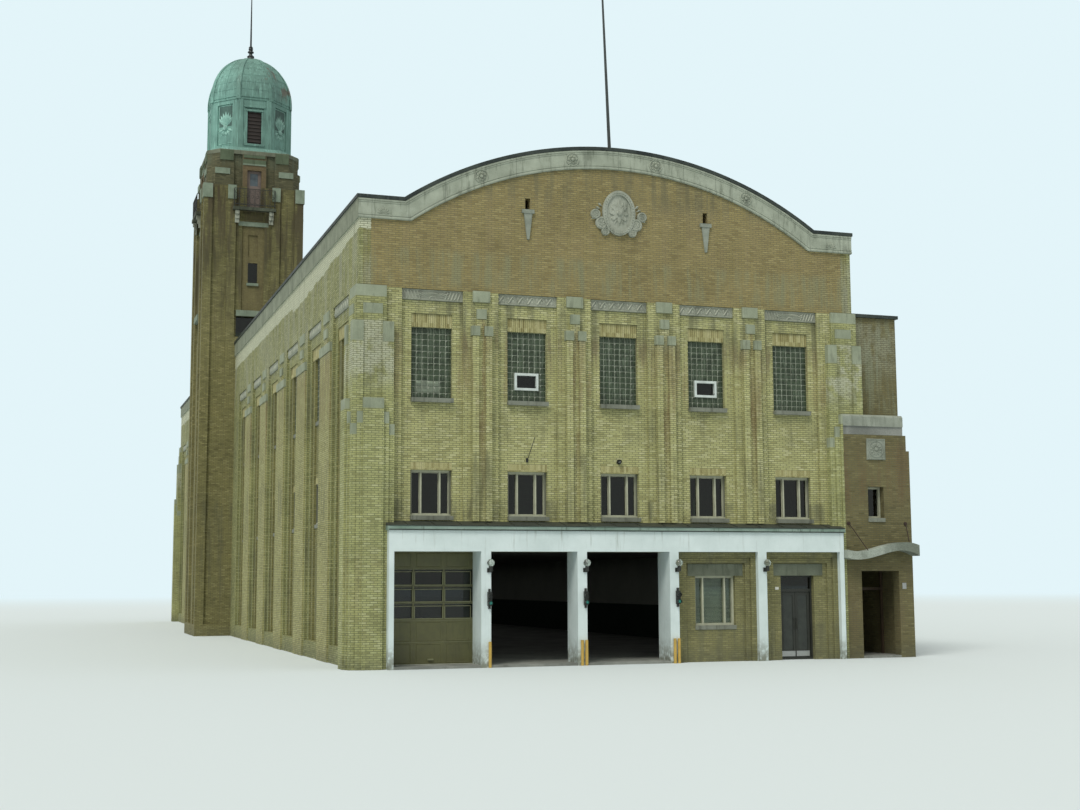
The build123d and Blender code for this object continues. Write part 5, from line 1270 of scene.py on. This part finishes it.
def level_seam(height, thick):
    """A lapped seam round the dome at a height above its foot."""
    above = max(height - dome_upright, 0.0) / dome_rise
    reach = dome_reach * math.sqrt(1 - above**2) * to_corner
    run = []
    for i in range(9):
        outward = around_dome(math.pi / 8 + math.pi / 4 * i)
        run.append((dome_foot + skyward * height + outward * reach, skyward, outward))
    return strip(run, [(-0.012, -0.004), (0.012, -0.012), (0.006, thick), (-0.012, thick)])


copper_work = [laid(cut_blocks(frames, 0.004), tower_turns), level_seam(0.085, 0.018)]
for i in range(8):
    copper_work.append(meridian(math.pi / 8 + math.pi / 4 * i, to_corner, 0.13, 0.012))
    copper_work.append(meridian(math.pi / 4 * i, 1.0, 0.018, 0.007))
copper_work += [level_seam(height, 0.006) for height in (0.02, 0.30, 0.52, 0.74, 0.95, 1.14)]
piece("copper_ribs_and_frames", copper_work, copper)

bronze = painted("dark bronze", (0.05, 0.055, 0.055), 0.4, 0.3, (0.10, 0.16, 0.13), 0.5, 0.5)
wear(bronze, "finial_spire")
collars = []
for z, radius in ((15.955, 0.085), (16.09, 0.072), (16.17, 0.05)):
    tilts = [shift(tower_x, tower_y, z) @ Matrix.Rotation(s * math.pi / 2, 4, "X") for s in (-1, 1)]
    collars.append(laid(ring(radius, 0.03, 0.02, 24), tilts))
piece("finial_collars", collars, bronze)


# The flagpole is a tapered steel tube, painted dark, that has leaned a little with age.
# Beside the piers hang globe lamps on iron arms, with signal lights and yellow guard posts below.
wear(painted("flagpole paint", (0.055, 0.065, 0.062), 0.4, 0.3, (0.2, 0.2, 0.18), 0.4, 0.3), "flagpole")
wear(painted("yellow guard paint", (0.55, 0.37, 0.08), 0.45, 0.35, (0.10, 0.075, 0.045), 0.9), "guard_posts")
wear(iron, "lamp_brackets", "signal_lights")
dusty = ((0.50, 0.54, 0.48), (0.72, 0.76, 0.70))
see_through = {"Transmission Weight": 0.9}
globe = simple("lamp globe glass", (0.06, 4), dusty, (0.3, 0.7, 0.08, 0.3), more=see_through)
wear(globe, "lamp_globes")

fluted = ((0.01, 0.15, 0.12), (0.03, 0.30, 0.24))
green_lens = simple("green signal lens", (0.006, 2), fluted, 0.15, (0.4, 0.001))
signal_face, green_height, upper_height = -0.3895, 1.025, 1.135
lens_turns = [shift(x + 0.0495, signal_face, green_height) for x in pier_places[:3]]
hood_turns = lens_turns + [turn @ shift(z=upper_height - green_height) for turn in lens_turns]
piece("signal_lenses", [laid(boss(0.029, 0.007, 20), lens_turns)], green_lens)
piece("signal_hoods", [laid(ring(0.033, 0.006, 0.022, 20), hood_turns)], iron)


# Over two of the low windows are small irons: a slanting rod on a plate, and a round bulkhead lamp.
# Rod and plate are painted steel, and the lamp has a frosted glass under a short hood.
rod_x, lamp_x, lamp_z, bay_face = -1.66, -0.015, 3.375, 0.06
rod_foot, rod_tip = (rod_x, bay_face - 0.012, 3.36), (rod_x + 0.10, -0.06, 3.74)
plate = ((rod_x - 0.02, bay_face - 0.014, 3.33), (rod_x + 0.02, bay_face - 0.0005, 3.40))
irons = [
    bar(rod_foot, rod_tip, rightward, inward, flat(0.005, 0.005)),
    cut_blocks([plate], 0.002),
    moved(ring(0.036, 0.012, 0.05, 20), lamp_x, bay_face - 0.001, lamp_z),
    moved(boss(0.042, 0.014, 20), lamp_x, bay_face - 0.0005, lamp_z),
]
piece("wall_irons", irons, iron)
piece("wall_lamp_glass", [moved(boss(0.029, 0.042, 20), lamp_x, bay_face - 0.001, lamp_z)], globe)


# A carved oval rosette with scrolls stands in the middle of the gable, cut in pale stone.
# Rows of beads and leaves of the same stone dress its rim, in a plain pattern.
pale_stone = stonework("medallion stone", (0.41, 0.43, 0.36), (0.26, 0.28, 0.22), (0.10, 0.11, 0.08), 0.5)
wear(pale_stone, "gable_medallion")
leafage = joined([petals(12, 0.06, 0.25, 0.035, 0.016), petals(12, 0.05, 0.17, 0.026, 0.022, math.pi / 12)])
carving = [laid(leafage, [shift(0, -0.028) @ Matrix.Diagonal((0.78, 1.0, 1.0, 1.0))])]
carving.append(moved(boss(0.05, 0.035), 0, -0.04))
for out in [spoke(2 * math.pi * i / 44) for i in range(44)]:
    carving.append(moved(boss(0.015, 0.012, 8), 0.265 * out.x, -0.0545, 0.36 * out.z))
for side in (-1, 1):
    for dx, dz, radius in ((0.32, -0.19, 0.11), (0.43, -0.04, 0.088), (0.25, -0.33, 0.077)):
        rays = petals(6, 0.0, radius * 0.62, radius * 0.2, 0.012)
        scroll = joined([ring(radius * 0.78, radius * 0.22, 0.014), rays])
        carving.append(moved(scroll, side * dx, -0.038, dz))
    for i in range(5):
        leaf = petals(1, 0.0, 0.10, 0.022, 0.02, side * (0.9 + i * 0.3))
        carving.append(moved(leaf, side * (0.30 + 0.03 * i), -0.012, 0.10 - 0.045 * i))
piece("medallion_carving", [moved(joined(carving), z=7.68)], pale_stone)
